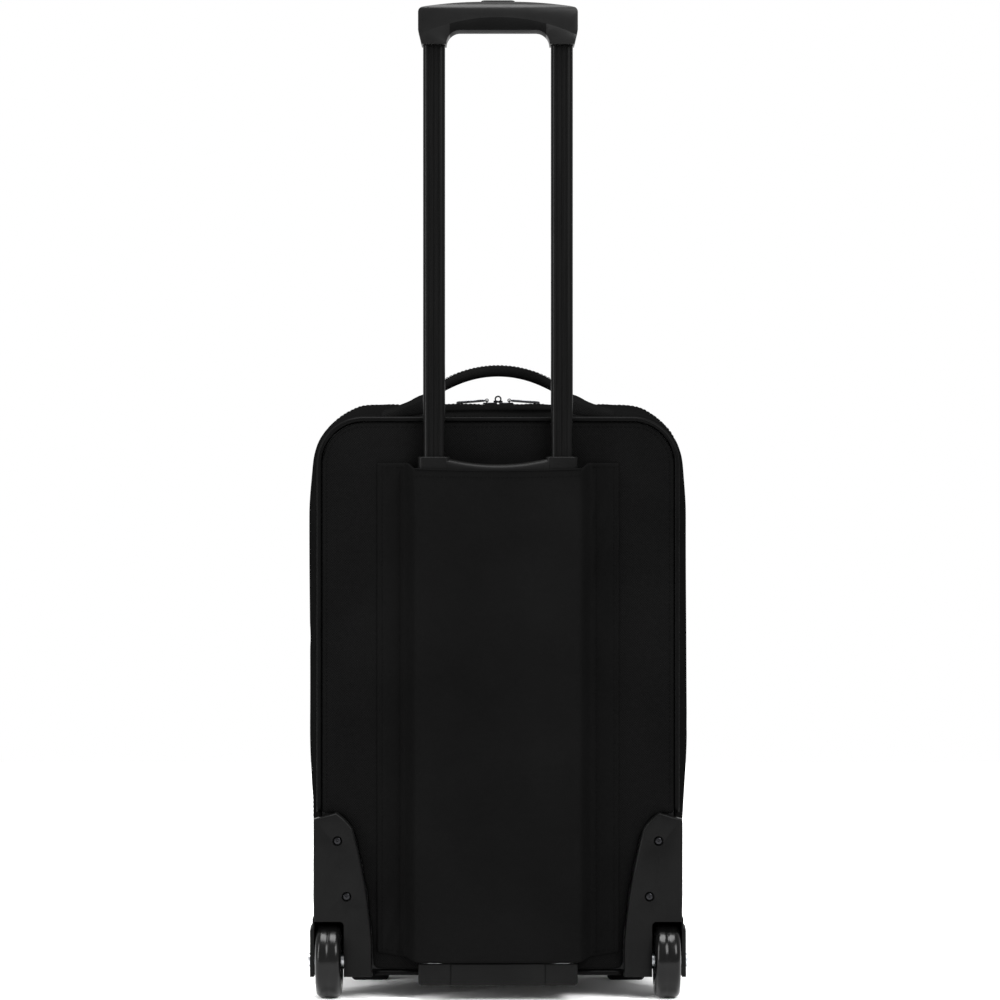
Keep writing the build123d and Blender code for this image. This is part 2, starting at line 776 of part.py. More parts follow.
with BuildPart() as tube_cup:
    with BuildSketch(across(bezel_rear)):
        with Locations((0, (cup_low + cup_top) / 2)):
            RectangleRounded(2 * cup_out, cup_h, 3)
    extrude(amount=bezel_rear - collar_front)
    fillet(tube_cup.faces().sort_by(Axis.Y)[-1].edges(), cup_round)
    add(slab((-cup_out, cup_out), (y_back - cup_lip, y_back + 1), (cup_low, ground + back_low_inset + 1)))
    add(case_block(y_back + gap / 2, y_zip, -gap / 2), mode=Mode.SUBTRACT)
    tube_room = tube_bar(tube_foot, cup_top, fixed_w + 2 * fit, fixed_d + 2 * fit, fixed_r + fit)
    add(tube_room, mode=Mode.SUBTRACT)
    add(mirror(tube_room, about=Plane.YZ), mode=Mode.SUBTRACT)
    for sign in (1, -1):
        edge = sign * (tube_x - fixed_w / 2 - cup_side - 1)
        add(slab((edge - 0.8, edge + 0.8), (bezel_rear - 1.2, bezel_rear + 1), (0, cup_top)), mode=Mode.SUBTRACT)
    add(piping_groove, mode=Mode.SUBTRACT)
    add(cup_holes, mode=Mode.SUBTRACT)
    add(pins(Plane.XY.offset(cup_low), cup_spots, recess_r, cup_recess), mode=Mode.SUBTRACT)
keep("tube_cup", tube_cup.part)

with BuildPart() as tube_screws:
    add(screws(across(bezel_rear - recess), bezel_spots, bezel_rear - recess - y_board + board))
    add(screws(Plane.XY.offset(cup_low + cup_recess), cup_spots, lining_inset + ground + 2 - cup_low - cup_recess))
keep("tube_screws", tube_screws.part)

with BuildPart() as tube_cover:
    mid = bezel_out + cover_side_room
    margin = mid + cover_slope + cover_margin
    low_y = y_back + gap
    with BuildSketch(Plane.XY.offset(cover_low)):
        with BuildLine():
            outer = Polyline(
                (-margin, low_y + cover_t), (-mid - cover_slope, low_y + cover_t), (-mid, cover_in + cover_t),
                (mid, cover_in + cover_t), (mid + cover_slope, low_y + cover_t), (margin, low_y + cover_t),
            )
            under = Polyline(
                (margin, low_y), (mid + cover_slope - cover_t, low_y), (mid - cover_t, cover_in),
                (cover_t - mid, cover_in), (cover_t - mid - cover_slope, low_y), (-margin, low_y),
            )
            Line(outer @ 1, under @ 0)
            Line(under @ 1, outer @ 0)
        make_face()
    extrude(amount=cover_top + cover_margin_top - cover_low)
    reach = mid + cover_slope
    add(slab((-reach, reach), (y_back, y_rear), (cover_top, crown)), mode=Mode.SUBTRACT)
    for sign in (1, -1):
        ends = sorted((sign * reach, sign * (margin + 1)))
        add(slab(ends, (y_back, y_rear), (0, cover_low + cover_margin_up)), mode=Mode.SUBTRACT)
keep("tube_cover", tube_cover.part)

# ------------------------------------------------------------ trolley handle
plug_low = tube_end + block_h
plug_w = tube_w - 2 * tube_wall - 2 * fit
plug_d = tube_d - 2 * tube_wall - 2 * fit
tube_inside = (tube_w - 2 * tube_wall, tube_d - 2 * tube_wall, tube_r - tube_wall)
pin_spots = both([(tube_x + pin_off, lobe_low + pin_up)])
pin_holes = pins(across(tube_y + tube_d), pin_spots, pin_r, 3 * tube_d)
with BuildPart() as inner_tube:
    add(tube_bar(plug_low, tube_top, tube_w, tube_d, tube_r))
    add(tube_bar(plug_low, tube_top, *tube_inside), mode=Mode.SUBTRACT)
    add(pin_holes, mode=Mode.SUBTRACT)
keep_pair("inner_tube", inner_tube.part)

latch_reach = latch_in + latch_draw + 0.2
shoe_x = tube_w / 2 + glide - shoe_gap
with BuildPart() as glide_block:
    add(tube_bar(
        tube_end, plug_low, tube_w + 2 * (glide - shoe_gap), tube_d + 2 * (glide - shoe_gap), tube_r + glide - shoe_gap
    ))
    add(tube_bar(plug_low, plug_low + plug_h, plug_w, plug_d, tube_r - tube_wall - fit))
    add(slab(
        (tube_x - latch_reach, tube_x + shoe_x + 1),
        (tube_y - latch_d / 2 - latch_gap, tube_y + latch_d / 2 + latch_gap),
        (latch_z - latch_h / 2 - latch_gap, latch_top + latch_gap),
    ), mode=Mode.SUBTRACT)
    spring_room = pins(Plane.YZ.offset(tube_x - shoe_x + 1), [(tube_y, latch_z)], spring_r + 0.6, shoe_x)
    add(spring_room, mode=Mode.SUBTRACT)
    add(pins(Plane.XY.offset(latch_z), [(tube_x, tube_y)], rod_r + rod_gap, block_h + plug_h), mode=Mode.SUBTRACT)
keep_pair("glide_block", glide_block.part)

ramp = button_travel / latch_draw
with BuildPart() as latch:
    add(slab(
        (tube_x - latch_in, tube_x + latch_tip),
        (tube_y - latch_d / 2, tube_y + latch_d / 2),
        (latch_z - latch_h / 2, latch_top),
    ))
    notch_low = rod_low - button_travel - 0.3
    with BuildSketch(across(tube_y + latch_d)):
        with BuildLine():
            tip_x = tube_x + rod_r
            top_x = tip_x - (latch_top - rod_low) / ramp - ramp_gap
            low_x = tip_x + (rod_low - notch_low) / ramp - ramp_gap
            far_x = tip_x + latch_draw + rod_gap
            Polyline((top_x, latch_top), (low_x, notch_low), (far_x, notch_low), (far_x, latch_top), close=True)
        make_face()
    extrude(amount=2 * latch_d, mode=Mode.SUBTRACT)
keep_pair("lock_latch", latch.part)

with BuildPart() as release_rod:
    add(pins(Plane.XY.offset(rod_low), [(tube_x, tube_y)], rod_r, yoke_low - rod_low))
    with BuildSketch(across(tube_y + 2 * rod_r)):
        with BuildLine():
            Polyline(
                (tube_x - rod_r, rod_low), (tube_x + rod_r, rod_low), (tube_x - rod_r, rod_low + 2 * rod_r * ramp),
                close=True,
            )
        make_face()
    extrude(amount=4 * rod_r, mode=Mode.SUBTRACT)
keep_pair("release_rod", release_rod.part)

with BuildPart() as latch_spring:
    spring_start = tube_x - shoe_x + 1
    spring_path = Helix(pitch=0.5, height=1.2, radius=spring_r, direction=(1, 0, 0), center=(spring_start + 0.4, tube_y, latch_z))
    with BuildSketch(Plane(origin=spring_path @ 0, z_dir=spring_path % 0)):
        Circle(spring_wire / 2)
    sweep(path=spring_path)
with BuildPart() as latch_springs:
    add(latch_spring.part)
    mirror(about=Plane.YZ)
keep("latch_springs", latch_springs.part)

with BuildPart() as release_yoke:
    add(slab(
        (-tube_x - yoke_d / 2, tube_x + yoke_d / 2),
        (tube_y - yoke_d / 2, tube_y + yoke_d / 2),
        (yoke_low, yoke_top),
    ))
    fillet(release_yoke.edges().filter_by(Axis.Z), 0.45 * yoke_d)
keep("release_yoke", release_yoke.part)

flange_top = cavity_top - button_gap
with BuildPart() as lock_button:
    with BuildSketch(Plane.XY.offset(yoke_top)):
        with Locations((0, tube_y)):
            RectangleRounded(button_w, button_d, button_d / 2 - 0.5)
    extrude(amount=grip_top + button_proud - yoke_top)
    fillet(lock_button.faces().sort_by(Axis.Z)[-1].edges(), 1.2)
    with BuildSketch(Plane.XY.offset(flange_top - flange_t)):
        with Locations((0, tube_y)):
            RectangleRounded(button_w + 2 * flange_more, button_d, button_d / 2 - 0.5)
    extrude(amount=flange_t)
keep("lock_button", lock_button.part)

with BuildPart() as button_spring:
    coil_low = cavity_low + 0.2 + button_spring_wire / 2
    coil_high = yoke_low - 0.2 - button_spring_wire / 2
    coil_path = Helix(
        pitch=(coil_high - coil_low) / 4, height=coil_high - coil_low, radius=button_spring_r,
        center=(0, tube_y, coil_low),
    )
    with BuildSketch(Plane(origin=coil_path @ 0, z_dir=coil_path % 0)):
        Circle(button_spring_wire / 2)
    sweep(path=coil_path)
keep("button_spring", button_spring.part)

grip_rear = y_rear
grip_front = y_rear - grip_d
grip_y = (grip_rear + grip_front) / 2
lobe_in = tube_x - tube_w / 2 - lobe_wall
lobe_out = tube_x + tube_w / 2 + lobe_wall


def grip_solid():
    """The grip's outer shape: an arched bar whose ends run down the tubes as lobes."""
    end_top = grip_top - grip_fall
    with BuildPart() as rounded_bar:
        with BuildSketch(Plane.YZ.offset(-grip_half)):
            with Locations((grip_y, grip_top - grip_h / 2 - grip_round)):
                RectangleRounded(grip_d, grip_h + 2 * grip_round, grip_round)
        extrude(amount=2 * grip_half)
    with BuildPart() as solid:
        with BuildSketch(across(grip_rear)):
            with BuildLine():
                arch = ThreePointArc((-grip_half + 7, end_top), (0, grip_top), (grip_half - 7, end_top))
                right = FilletPolyline(
                    arch @ 1, (grip_half, end_top - 1.5), (grip_half, bar_low), (lobe_out, lobe_low), radius=5
                )
                foot = Line(right @ 1, (lobe_in, lobe_low))
                under_right = ThreePointArc(
                    foot @ 1,
                    (lobe_in - 0.3 * grip_lift, lobe_low + 0.72 * grip_lift),
                    (lobe_in - grip_lift, bar_low),
                )
                under = Line(under_right @ 1, (grip_lift - lobe_in, bar_low))
                under_left = ThreePointArc(
                    under @ 1,
                    (0.3 * grip_lift - lobe_in, lobe_low + 0.72 * grip_lift),
                    (-lobe_in, lobe_low),
                )
                left_foot = Line(under_left @ 1, (-lobe_out, lobe_low))
                FilletPolyline(
                    left_foot @ 1, (-grip_half, bar_low), (-grip_half, end_top - 1.5), arch @ 0, radius=5
                )
            make_face()
        extrude(amount=grip_d)
        add(rounded_bar.part, mode=Mode.INTERSECT)
    return solid.part


def grip_rooms():
    """What is hollow in the grip: the cavity, the tube seats, the button's and the rods' ways."""
    cavity_x = grip_half - cavity_short
    with BuildPart() as rooms:
        add(slab(
            (-cavity_x, cavity_x), (grip_front + cavity_wall, grip_rear - cavity_wall), (cavity_low, cavity_top)
        ))
        seat_room = tube_bar(lobe_low, tube_top + gap, tube_w + 2 * fit, tube_d + 2 * fit, tube_r + fit)
        add(seat_room)
        add(mirror(seat_room, about=Plane.YZ))
        with BuildSketch(Plane.XY.offset(cavity_top - 1)):
            with Locations((0, tube_y)):
                RectangleRounded(button_w + 2 * button_gap, button_d + 2 * button_gap, button_d / 2 - 0.5 + button_gap)
        extrude(amount=grip_roof + 5)
        add(pins(across(grip_front + cavity_wall + tube_d + 3), pin_spots, pin_r, grip_d))
    return rooms.part


def grip_lower_space():
    """Everything below the curved parting line between the grip's two shells."""
    with BuildPart() as space:
        with BuildSketch(across(grip_rear + 5)):
            with BuildLine():
                arc = ThreePointArc(
                    (-grip_half - 2, lobe_low + split_end),
                    (0, lobe_low + split_mid),
                    (grip_half + 2, lobe_low + split_end),
                )
                Polyline(arc @ 1, (grip_half + 2, lobe_low - 5), (-grip_half - 2, lobe_low - 5), arc @ 0)
            make_face()
        extrude(amount=grip_d + 10)
    return space.part


hollow_grip = grip_solid() - grip_rooms()
with BuildPart() as grip_lower:
    add(hollow_grip)
    add(grip_lower_space(), mode=Mode.INTERSECT)
keep("grip_lower", grip_lower.part)

with BuildPart() as grip_upper:
    add(hollow_grip)
    add(grip_lower_space(), mode=Mode.SUBTRACT)
keep("grip_upper", grip_upper.part)

with BuildPart() as grip_pins:
    add(pins(across(tube_y + tube_d / 2), pin_spots, pin_r - fit / 2, tube_y + tube_d / 2 - grip_front - 1))
keep("grip_pins", grip_pins.part)

# ------------------------------------------------------------- carry handle
with BuildPart() as grown_case:
    add(case_block(y_back, y_zip, -anchor_t))
    add(case_block(y_back, y_zip), mode=Mode.SUBTRACT)
with BuildPart() as anchor:
    add(slab(
        (anchor_x - anchor_w / 2, anchor_x + anchor_w / 2),
        (handle_y - anchor_d / 2, handle_y + anchor_d / 2),
        (crown - 60, crown + 20),
    ))
    add(grown_case.part, mode=Mode.INTERSECT)
with BuildPart() as carry_anchors:
    add(anchor.part)
    mirror(about=Plane.YZ)
keep("carry_anchors", carry_anchors.part)

handle_top = outline(handle_y)[2] + strap_foot
with BuildPart() as carry_handle:
    with BuildLine() as arch_line:
        bow = ThreePointArc(
            (-strap_span / 2, handle_y, handle_top),
            (0, handle_y, handle_top + strap_rise),
            (strap_span / 2, handle_y, handle_top),
        )
    with BuildSketch(Plane(origin=bow @ 0, x_dir=(0, 1, 0), z_dir=bow % 0)):
        RectangleRounded(strap_d, strap_t, 0.45 * strap_t)
    sweep(path=bow)
    add(case_block(y_back, y_zip, -gap / 2), mode=Mode.SUBTRACT)
    add(carry_anchors.part, mode=Mode.SUBTRACT)
keep("carry_handle", carry_handle.part)

# --------------------------------------------------------------------- feet
with BuildPart() as foot:
    with BuildSketch(Plane.XY):
        with Locations((foot_x, foot_y)):
            RectangleRounded(foot_w, foot_l, 6)
    extrude(amount=ground + 10)
    chamfer(foot.faces().sort_by(Axis.Z)[0].edges(), 2)
    add(case_block(y_back, y_zip, -gap / 2), mode=Mode.SUBTRACT)
    add(foot_holes, mode=Mode.SUBTRACT)
    add(pins(Plane.XY, foot_spots, recess_r, foot_sink), mode=Mode.SUBTRACT)
keep_pair("foot", foot.part)

with BuildPart() as foot_screws:
    add(screws(Plane.XY.offset(foot_sink), foot_spots, ground + lining_inset - 0.5 - foot_sink))
keep("foot_screws", foot_screws.part)


# ---------------------------------------------------------- sliders and pulls
def slider(plane, width, chain_t, post_thick, lugged):
    """A zip slider. Local x runs along the chain, local z points out of the case."""
    bar_z = slider_gap + slider_t + eye_r + 0.3
    with BuildPart(plane) as body:
        with Locations((0, 0, slider_gap + slider_t / 2), (0, 0, -chain_t - slider_gap - slider_t / 2)):
            Box(slider_l, width, slider_t)
        with Locations((0, 0, -chain_t / 2)):
            Box(post_l, post_thick, chain_t + 2 * slider_gap + slider_t)
        with Locations((bail_off, 0, bar_z)):
            Cylinder(bail_r, bail_w, rotation=(90, 0, 0))
        for sign in (1, -1):
            with Locations((bail_off, sign * (bail_w - bail_post) / 2, (bar_z + slider_gap + slider_t) / 2)):
                Box(2 * bail_r, bail_post, bar_z - slider_gap - slider_t)
        if lugged:
            lug_z = slider_gap + slider_t + lug_up
            with Locations((-slider_off, lug_t / 2 + lug_split / 2, lug_z)):
                Cylinder(lug_r, lug_t, rotation=(90, 0, 0))
            with Locations((-slider_off / 2 - lug_r / 2, lug_t / 2 + lug_split / 2, slider_gap + slider_t + 1)):
                Box(slider_off - lug_r, lug_t, 2)
            with Locations((-slider_off, lug_t / 2 + lug_split / 2, lug_z)):
                Cylinder(lug_hole, lug_t + 2, rotation=(90, 0, 0), mode=Mode.SUBTRACT)
    return body.part


def pull(plane, width):
    """A slider's pull: an eye round the slider's bar and a tab along local x."""
    bar_z = slider_gap + slider_t + eye_r + 0.3
    with BuildPart(plane) as tab:
        with Locations((bail_off, 0, bar_z)):
            Cylinder(eye_r, eye_w, rotation=(90, 0, 0))
        with Locations((bail_off + pull_l / 4, 0, bar_z)):
            Box(pull_l / 2, eye_w, pull_t)
        with Locations((bail_off + 2 * eye_r + (pull_l - 2 * eye_r) / 2, 0, bar_z)):
            Box(pull_l - 2 * eye_r, width, pull_t)
        with Locations((bail_off, 0, bar_z)):
            Cylinder(bail_r + bail_gap, width, rotation=(90, 0, 0), mode=Mode.SUBTRACT)
    return tab.part


for side, sign in (("left", 1), ("right", -1)):
    top_plane = Plane(origin=(sign * slider_off, y_zip, crown), x_dir=(sign, 0, 0), z_dir=(0, 0, 1))
    keep(f"zip_slider_{side}", slider(top_plane, slider_w, teeth_t, post_t, True))
    keep(f"zip_pull_{side}", pull(top_plane, pull_w))

pocket_side = pocket_w / 2 - pocket_draft * (y_front - y_band) / pocket_depth
side_origin = (pocket_side, y_band - flap_gap / 2, pocket_low + pocket_slider_z)
side_plane = Plane(origin=side_origin, x_dir=(0, 0, -1), z_dir=(1, 0, 0))
keep("pocket_slider", slider(side_plane, pocket_slider_w, band_wall, pocket_post_t, False))
keep("pocket_pull", pull(side_plane, pocket_slider_w))

# -------------------------------------------------------------------- export
os.makedirs("parts", exist_ok=True)
for label, piece in pieces.items():
    piece.label = label
    export_step(piece, f"parts/{label}.step")
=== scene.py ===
"""An upright two-wheeled rolling case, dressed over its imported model. Metres, +Z up, the back faces +Y."""

import json
import math

import bmesh
import bpy
from mathutils import Matrix, Vector, noise
from mathutils.bvhtree import BVHTree


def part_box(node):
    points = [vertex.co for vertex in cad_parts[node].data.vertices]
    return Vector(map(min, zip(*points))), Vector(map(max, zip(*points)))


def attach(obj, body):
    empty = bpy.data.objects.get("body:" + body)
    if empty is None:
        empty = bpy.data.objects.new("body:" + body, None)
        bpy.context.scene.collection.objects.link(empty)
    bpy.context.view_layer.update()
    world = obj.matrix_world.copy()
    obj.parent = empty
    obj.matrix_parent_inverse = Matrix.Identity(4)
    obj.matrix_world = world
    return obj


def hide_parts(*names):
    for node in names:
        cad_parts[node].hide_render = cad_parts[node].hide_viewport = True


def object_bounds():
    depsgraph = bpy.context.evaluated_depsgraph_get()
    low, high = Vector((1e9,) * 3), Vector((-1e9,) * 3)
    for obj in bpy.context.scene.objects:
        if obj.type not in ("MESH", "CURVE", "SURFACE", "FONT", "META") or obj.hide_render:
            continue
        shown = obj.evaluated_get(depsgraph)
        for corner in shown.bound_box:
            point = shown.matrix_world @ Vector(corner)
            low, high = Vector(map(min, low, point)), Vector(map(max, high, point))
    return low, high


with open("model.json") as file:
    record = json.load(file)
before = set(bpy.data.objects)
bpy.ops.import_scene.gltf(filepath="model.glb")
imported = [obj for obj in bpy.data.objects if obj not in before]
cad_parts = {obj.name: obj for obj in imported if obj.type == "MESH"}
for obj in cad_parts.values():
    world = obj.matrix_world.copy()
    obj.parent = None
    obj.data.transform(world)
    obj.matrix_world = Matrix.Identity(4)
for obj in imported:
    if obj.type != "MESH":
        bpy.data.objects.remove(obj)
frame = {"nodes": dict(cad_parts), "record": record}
cad_low, cad_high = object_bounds()

MM = 0.001
SKIN = 2.5 * MM  # foam-backed fabric of the side walls
PIPING_R = 2.4 * MM
CORNERS = {"back": 42 * MM, "zip": 60 * MM, "front": 52 * MM}
TAPE_EDGE = 5.0 * MM  # zip line to the edge of the side wall's fabric

# ---------------------------------------------------------------- places from the model
panel_low, panel_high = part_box("back_panel")
lid_low, lid_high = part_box("lid_gusset")
front_low, front_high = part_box("front_panel")
welt_low, welt_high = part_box("lid_hinge_welt")
Y_BACK = panel_high.y
Y_ZIP = (welt_low.y + welt_high.y) / 2
Y_FRONT = front_low.y
BACK = (panel_high.x + SKIN, panel_low.z - SKIN, panel_high.z + SKIN, CORNERS["back"])
ZIP = (lid_high.x, lid_low.z, lid_high.z, CORNERS["zip"])
FRONT = (front_high.x + SKIN, front_low.z - SKIN, front_high.z + SKIN, CORNERS["front"])
ZIP_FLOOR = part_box("zip_half_case")[0].z


def shape_at(y):
    """Half width, lower edge, upper edge and corner radius of the case at depth y."""
    near, far, share = BACK, ZIP, (Y_BACK - y) / (Y_BACK - Y_ZIP)
    if y < Y_ZIP:
        near, far, share = ZIP, FRONT, (Y_ZIP - y) / (Y_ZIP - Y_FRONT)
    return [a + share * (b - a) for a, b in zip(near, far)]


# ------------------------------------------------------------------------- mesh helpers
def add_object(name, mesh):
    piece = bpy.data.objects.new(name, mesh)
    bpy.context.scene.collection.objects.link(piece)
    return piece


def from_bmesh(name, bm, smooth=True):
    mesh = bpy.data.meshes.new(name)
    bm.to_mesh(mesh)
    bm.free()
    mesh.polygons.foreach_set("use_smooth", [smooth] * len(mesh.polygons))
    return add_object(name, mesh)


def settle(piece):
    """Turns a piece and its modifiers into one plain mesh, with its place in the mesh."""
    bpy.context.view_layer.update()
    evaluated = piece.evaluated_get(bpy.context.evaluated_depsgraph_get())
    mesh = bpy.data.meshes.new_from_object(evaluated)
    mesh.transform(piece.matrix_world)
    piece.modifiers.clear()
    piece.data = mesh
    piece.matrix_world = Matrix.Identity(4)
    mesh.name = piece.name
    return piece


def modify(piece, kind, **settings):
    modifier = piece.modifiers.new(kind.lower(), kind)
    for key, value in settings.items():
        setattr(modifier, key, value)
    return modifier


def subdivide(piece, levels=1):
    modify(piece, "SUBSURF", levels=levels, render_levels=levels)
    return settle(piece)


def thicken(piece, wall):
    """Gives a sheet its thickness, inward from the face that shows."""
    modify(piece, "SOLIDIFY", thickness=wall, offset=-1.0)
    return settle(piece)


def sheet_from_rows(name, rows, closed, outward):
    """A grid of quads through rows of points, with a UV map in metres, facing outward."""
    bm = bmesh.new()
    uv = bm.loops.layers.uv.new("cloth")
    grid = [[bm.verts.new(p) for p in row] for row in rows]
    middle = rows[len(rows) // 2]
    along = [0.0]
    for a, b in zip(middle, middle[1:] + middle[:1]):
        along.append(along[-1] + (b - a).length)
    down = [0.0]
    for a, b in zip(rows, rows[1:]):
        down.append(down[-1] + (b[0] - a[0]).length)
    count = len(middle)
    for r in range(len(rows) - 1):
        for c in range(count if closed else count - 1):
            n = (c + 1) % count
            face = bm.faces.new((grid[r][c], grid[r][n], grid[r + 1][n], grid[r + 1][c]))
            corners = ((c, r), (c + 1, r), (c + 1, r + 1), (c, r + 1))
            for loop, (i, j) in zip(face.loops, corners):
                loop[uv].uv = (along[i], down[j])
    bm.normal_update()
    side = sum(f.normal.dot(outward(f.calc_center_median())) for f in bm.faces)
    if side < 0:
        bmesh.ops.reverse_faces(bm, faces=bm.faces[:])
    return from_bmesh(name, bm)


def flat_map(piece, across=0, up=2):
    """A UV map in metres laid straight on the piece, so that its weave runs true."""
    layer = piece.data.uv_layers.get("cloth") or piece.data.uv_layers.new(name="cloth")
    points = piece.data.vertices
    for loop in piece.data.loops:
        co = points[loop.vertex_index].co
        layer.data[loop.index].uv = (co[across], co[up])
    piece.data.uv_layers.active = layer
    return piece


def wrap_map(piece):
    """A UV map in metres that turns with the piece's faces, for a part seen from all sides."""
    layer = piece.data.uv_layers.get("cloth") or piece.data.uv_layers.new(name="cloth")
    for face in piece.data.polygons:
        n = face.normal
        strongest = max(range(3), key=lambda i: abs(n[i]))
        across, up = ((1, 2), (0, 2), (0, 1))[strongest]
        for index in face.loop_indices:
            co = piece.data.vertices[piece.data.loops[index].vertex_index].co
            layer.data[index].uv = (co[across], co[up])
    piece.data.uv_layers.active = layer
    return piece


def merged_copy(node):
    """A node's mesh with its loose triangles joined up."""
    bm = bmesh.new()
    bm.from_mesh(frame["nodes"][node].data)
    bmesh.ops.remove_doubles(bm, verts=bm.verts[:], dist=1e-5)
    return bm


def welded(piece):
    """Joins a piece's points where they coincide and turns its faces outward."""
    bm = bmesh.new()
    bm.from_mesh(piece.data)
    bmesh.ops.remove_doubles(bm, verts=bm.verts[:], dist=1e-6)
    bmesh.ops.recalc_face_normals(bm, faces=bm.faces[:])
    bm.to_mesh(piece.data)
    bm.free()
    return piece


def ease(value, start, end):
    """0 before start, 1 after end, and smooth between them."""
    t = min(1.0, max(0.0, (value - start) / (end - start)))
    return t * t * (3 - 2 * t)


def lofted(name, sections, capped=True):
    """A closed skin through closed sections that all have the same number of points."""
    bm = bmesh.new()
    uv = bm.loops.layers.uv.new("cloth")
    rings = [[bm.verts.new(p) for p in section] for section in sections]
    count = len(rings[0])
    travel = 0.0
    for r in range(len(rings) - 1):
        step = (Vector(sections[r + 1][0]) - Vector(sections[r][0])).length
        girth = 0.0
        for c in range(count):
            n = (c + 1) % count
            width = (Vector(sections[r][n]) - Vector(sections[r][c])).length
            face = bm.faces.new((rings[r][c], rings[r][n], rings[r + 1][n], rings[r + 1][c]))
            corners = ((girth, travel), (girth + width, travel),
                       (girth + width, travel + step), (girth, travel + step))
            for loop, place in zip(face.loops, corners):
                loop[uv].uv = place
            girth += width
        travel += step
    if capped:
        bm.faces.new(list(reversed(rings[0])))
        bm.faces.new(rings[-1])
    bmesh.ops.recalc_face_normals(bm, faces=bm.faces[:])
    return from_bmesh(name, bm)


def turned(name, profile, centre, steps=96):
    """A shape turned about an axle along X. The profile is a closed loop of (x, radius)."""
    sections = []
    for i in range(steps + 1):
        a = 2 * math.pi * (i % steps) / steps
        sections.append([
            Vector((centre.x + x, centre.y + r * math.cos(a), centre.z + r * math.sin(a)))
            for x, r in profile
        ])
    return welded(lofted(name, sections, capped=False))


def crisp(piece, angle=32):
    """Smooth faces with the edges between steep ones kept sharp."""
    bm = bmesh.new()
    bm.from_mesh(piece.data)
    limit = math.radians(angle)
    for edge in bm.edges:
        edge.smooth = len(edge.link_faces) == 2 and edge.calc_face_angle(0) < limit
    bm.to_mesh(piece.data)
    bm.free()
    piece.data.polygons.foreach_set("use_smooth", [True] * len(piece.data.polygons))
    return piece


def softened_edges(name, node, radius, angle=35):
    """A node's own shape with its moulded edges rounded, as a new piece that stands for it."""
    piece = from_bmesh(name, merged_copy(node))
    if radius:
        modify(piece, "BEVEL", width=radius, segments=2, limit_method="ANGLE",
               angle_limit=math.radians(angle), harden_normals=False, use_clamp_overlap=True)
        settle(piece)
    return crisp(piece, 40)


# ------------------------------------------------------------------------------ finishes
def colour(code):
    """An sRGB hex value as linear red, green, blue and alpha."""
    parts = [int(code[i:i + 2], 16) / 255 for i in (1, 3, 5)]
    return (*[p / 12.92 if p <= 0.04045 else ((p + 0.055) / 1.055) ** 2.4 for p in parts], 1.0)


def add_node(tree, kind, links=None, **settings):
    """Adds one node with its settings; links fills its sockets with values or other outputs."""
    node = tree.nodes.new(kind)
    for key, value in settings.items():
        setattr(node, key, value)
    for socket, value in (links or {}).items():
        if isinstance(value, bpy.types.NodeSocket):
            tree.links.new(value, node.inputs[socket])
        else:
            node.inputs[socket].default_value = value
    return node


def new_finish(name):
    """An empty material and its surface shader."""
    finish = bpy.data.materials.new(name)
    finish.use_nodes = True
    return finish, finish.node_tree, finish.node_tree.nodes["Principled BSDF"]


def woven(name, thread, dark, light, roughness, sheen, gloss, relief):
    """Woven synthetic cloth. Its pattern follows the cloth's own map, which is in metres."""
    finish, tree, shader = new_finish(name)
    place = add_node(tree, "ShaderNodeUVMap", uv_map="cloth")
    split = add_node(tree, "ShaderNodeSeparateXYZ", {0: place.outputs["UV"]})
    waves = []
    for axis in ("X", "Y"):
        turn = add_node(tree, "ShaderNodeMath", {0: split.outputs[axis], 1: math.pi / thread},
                        operation="MULTIPLY")
        waves.append(add_node(tree, "ShaderNodeMath", {0: turn.outputs[0]}, operation="SINE"))
    weave = add_node(tree, "ShaderNodeMath", {0: waves[0].outputs[0], 1: waves[1].outputs[0]},
                     operation="MULTIPLY")
    slub = add_node(tree, "ShaderNodeTexNoise", {"Vector": place.outputs["UV"], "Scale": 0.25 / thread,
                                                 "Detail": 3.0, "Roughness": 0.6})
    height = add_node(tree, "ShaderNodeMath", {0: weave.outputs[0], 1: 0.55, 2: slub.outputs["Fac"]},
                      operation="MULTIPLY_ADD")
    spot = add_node(tree, "ShaderNodeTexCoord")
    wear = add_node(tree, "ShaderNodeTexNoise", {"Vector": spot.outputs["Object"], "Scale": 9.0,
                                                 "Detail": 4.0, "Roughness": 0.55})
    tone = add_node(tree, "ShaderNodeMath", {0: height.outputs[0], 1: 0.45, 2: wear.outputs["Fac"]},
                    operation="MULTIPLY_ADD")
    ramp = add_node(tree, "ShaderNodeMapRange", {"Value": tone.outputs[0], "From Min": 0.2, "From Max": 1.15})
    paint = add_node(tree, "ShaderNodeMix", {"Factor": ramp.outputs["Result"], "A": colour(dark),
                                             "B": colour(light)}, data_type="RGBA")
    bump = add_node(tree, "ShaderNodeBump", {"Height": height.outputs[0], "Strength": relief,
                                             "Distance": 0.35 * thread})
    tree.links.new(paint.outputs["Result"], shader.inputs["Base Color"])
    tree.links.new(bump.outputs["Normal"], shader.inputs["Normal"])
    shader.inputs["Roughness"].default_value = roughness
    shader.inputs["Specular IOR Level"].default_value = gloss
    shader.inputs["Sheen Weight"].default_value = sheen
    shader.inputs["Sheen Roughness"].default_value = 0.45
    return finish


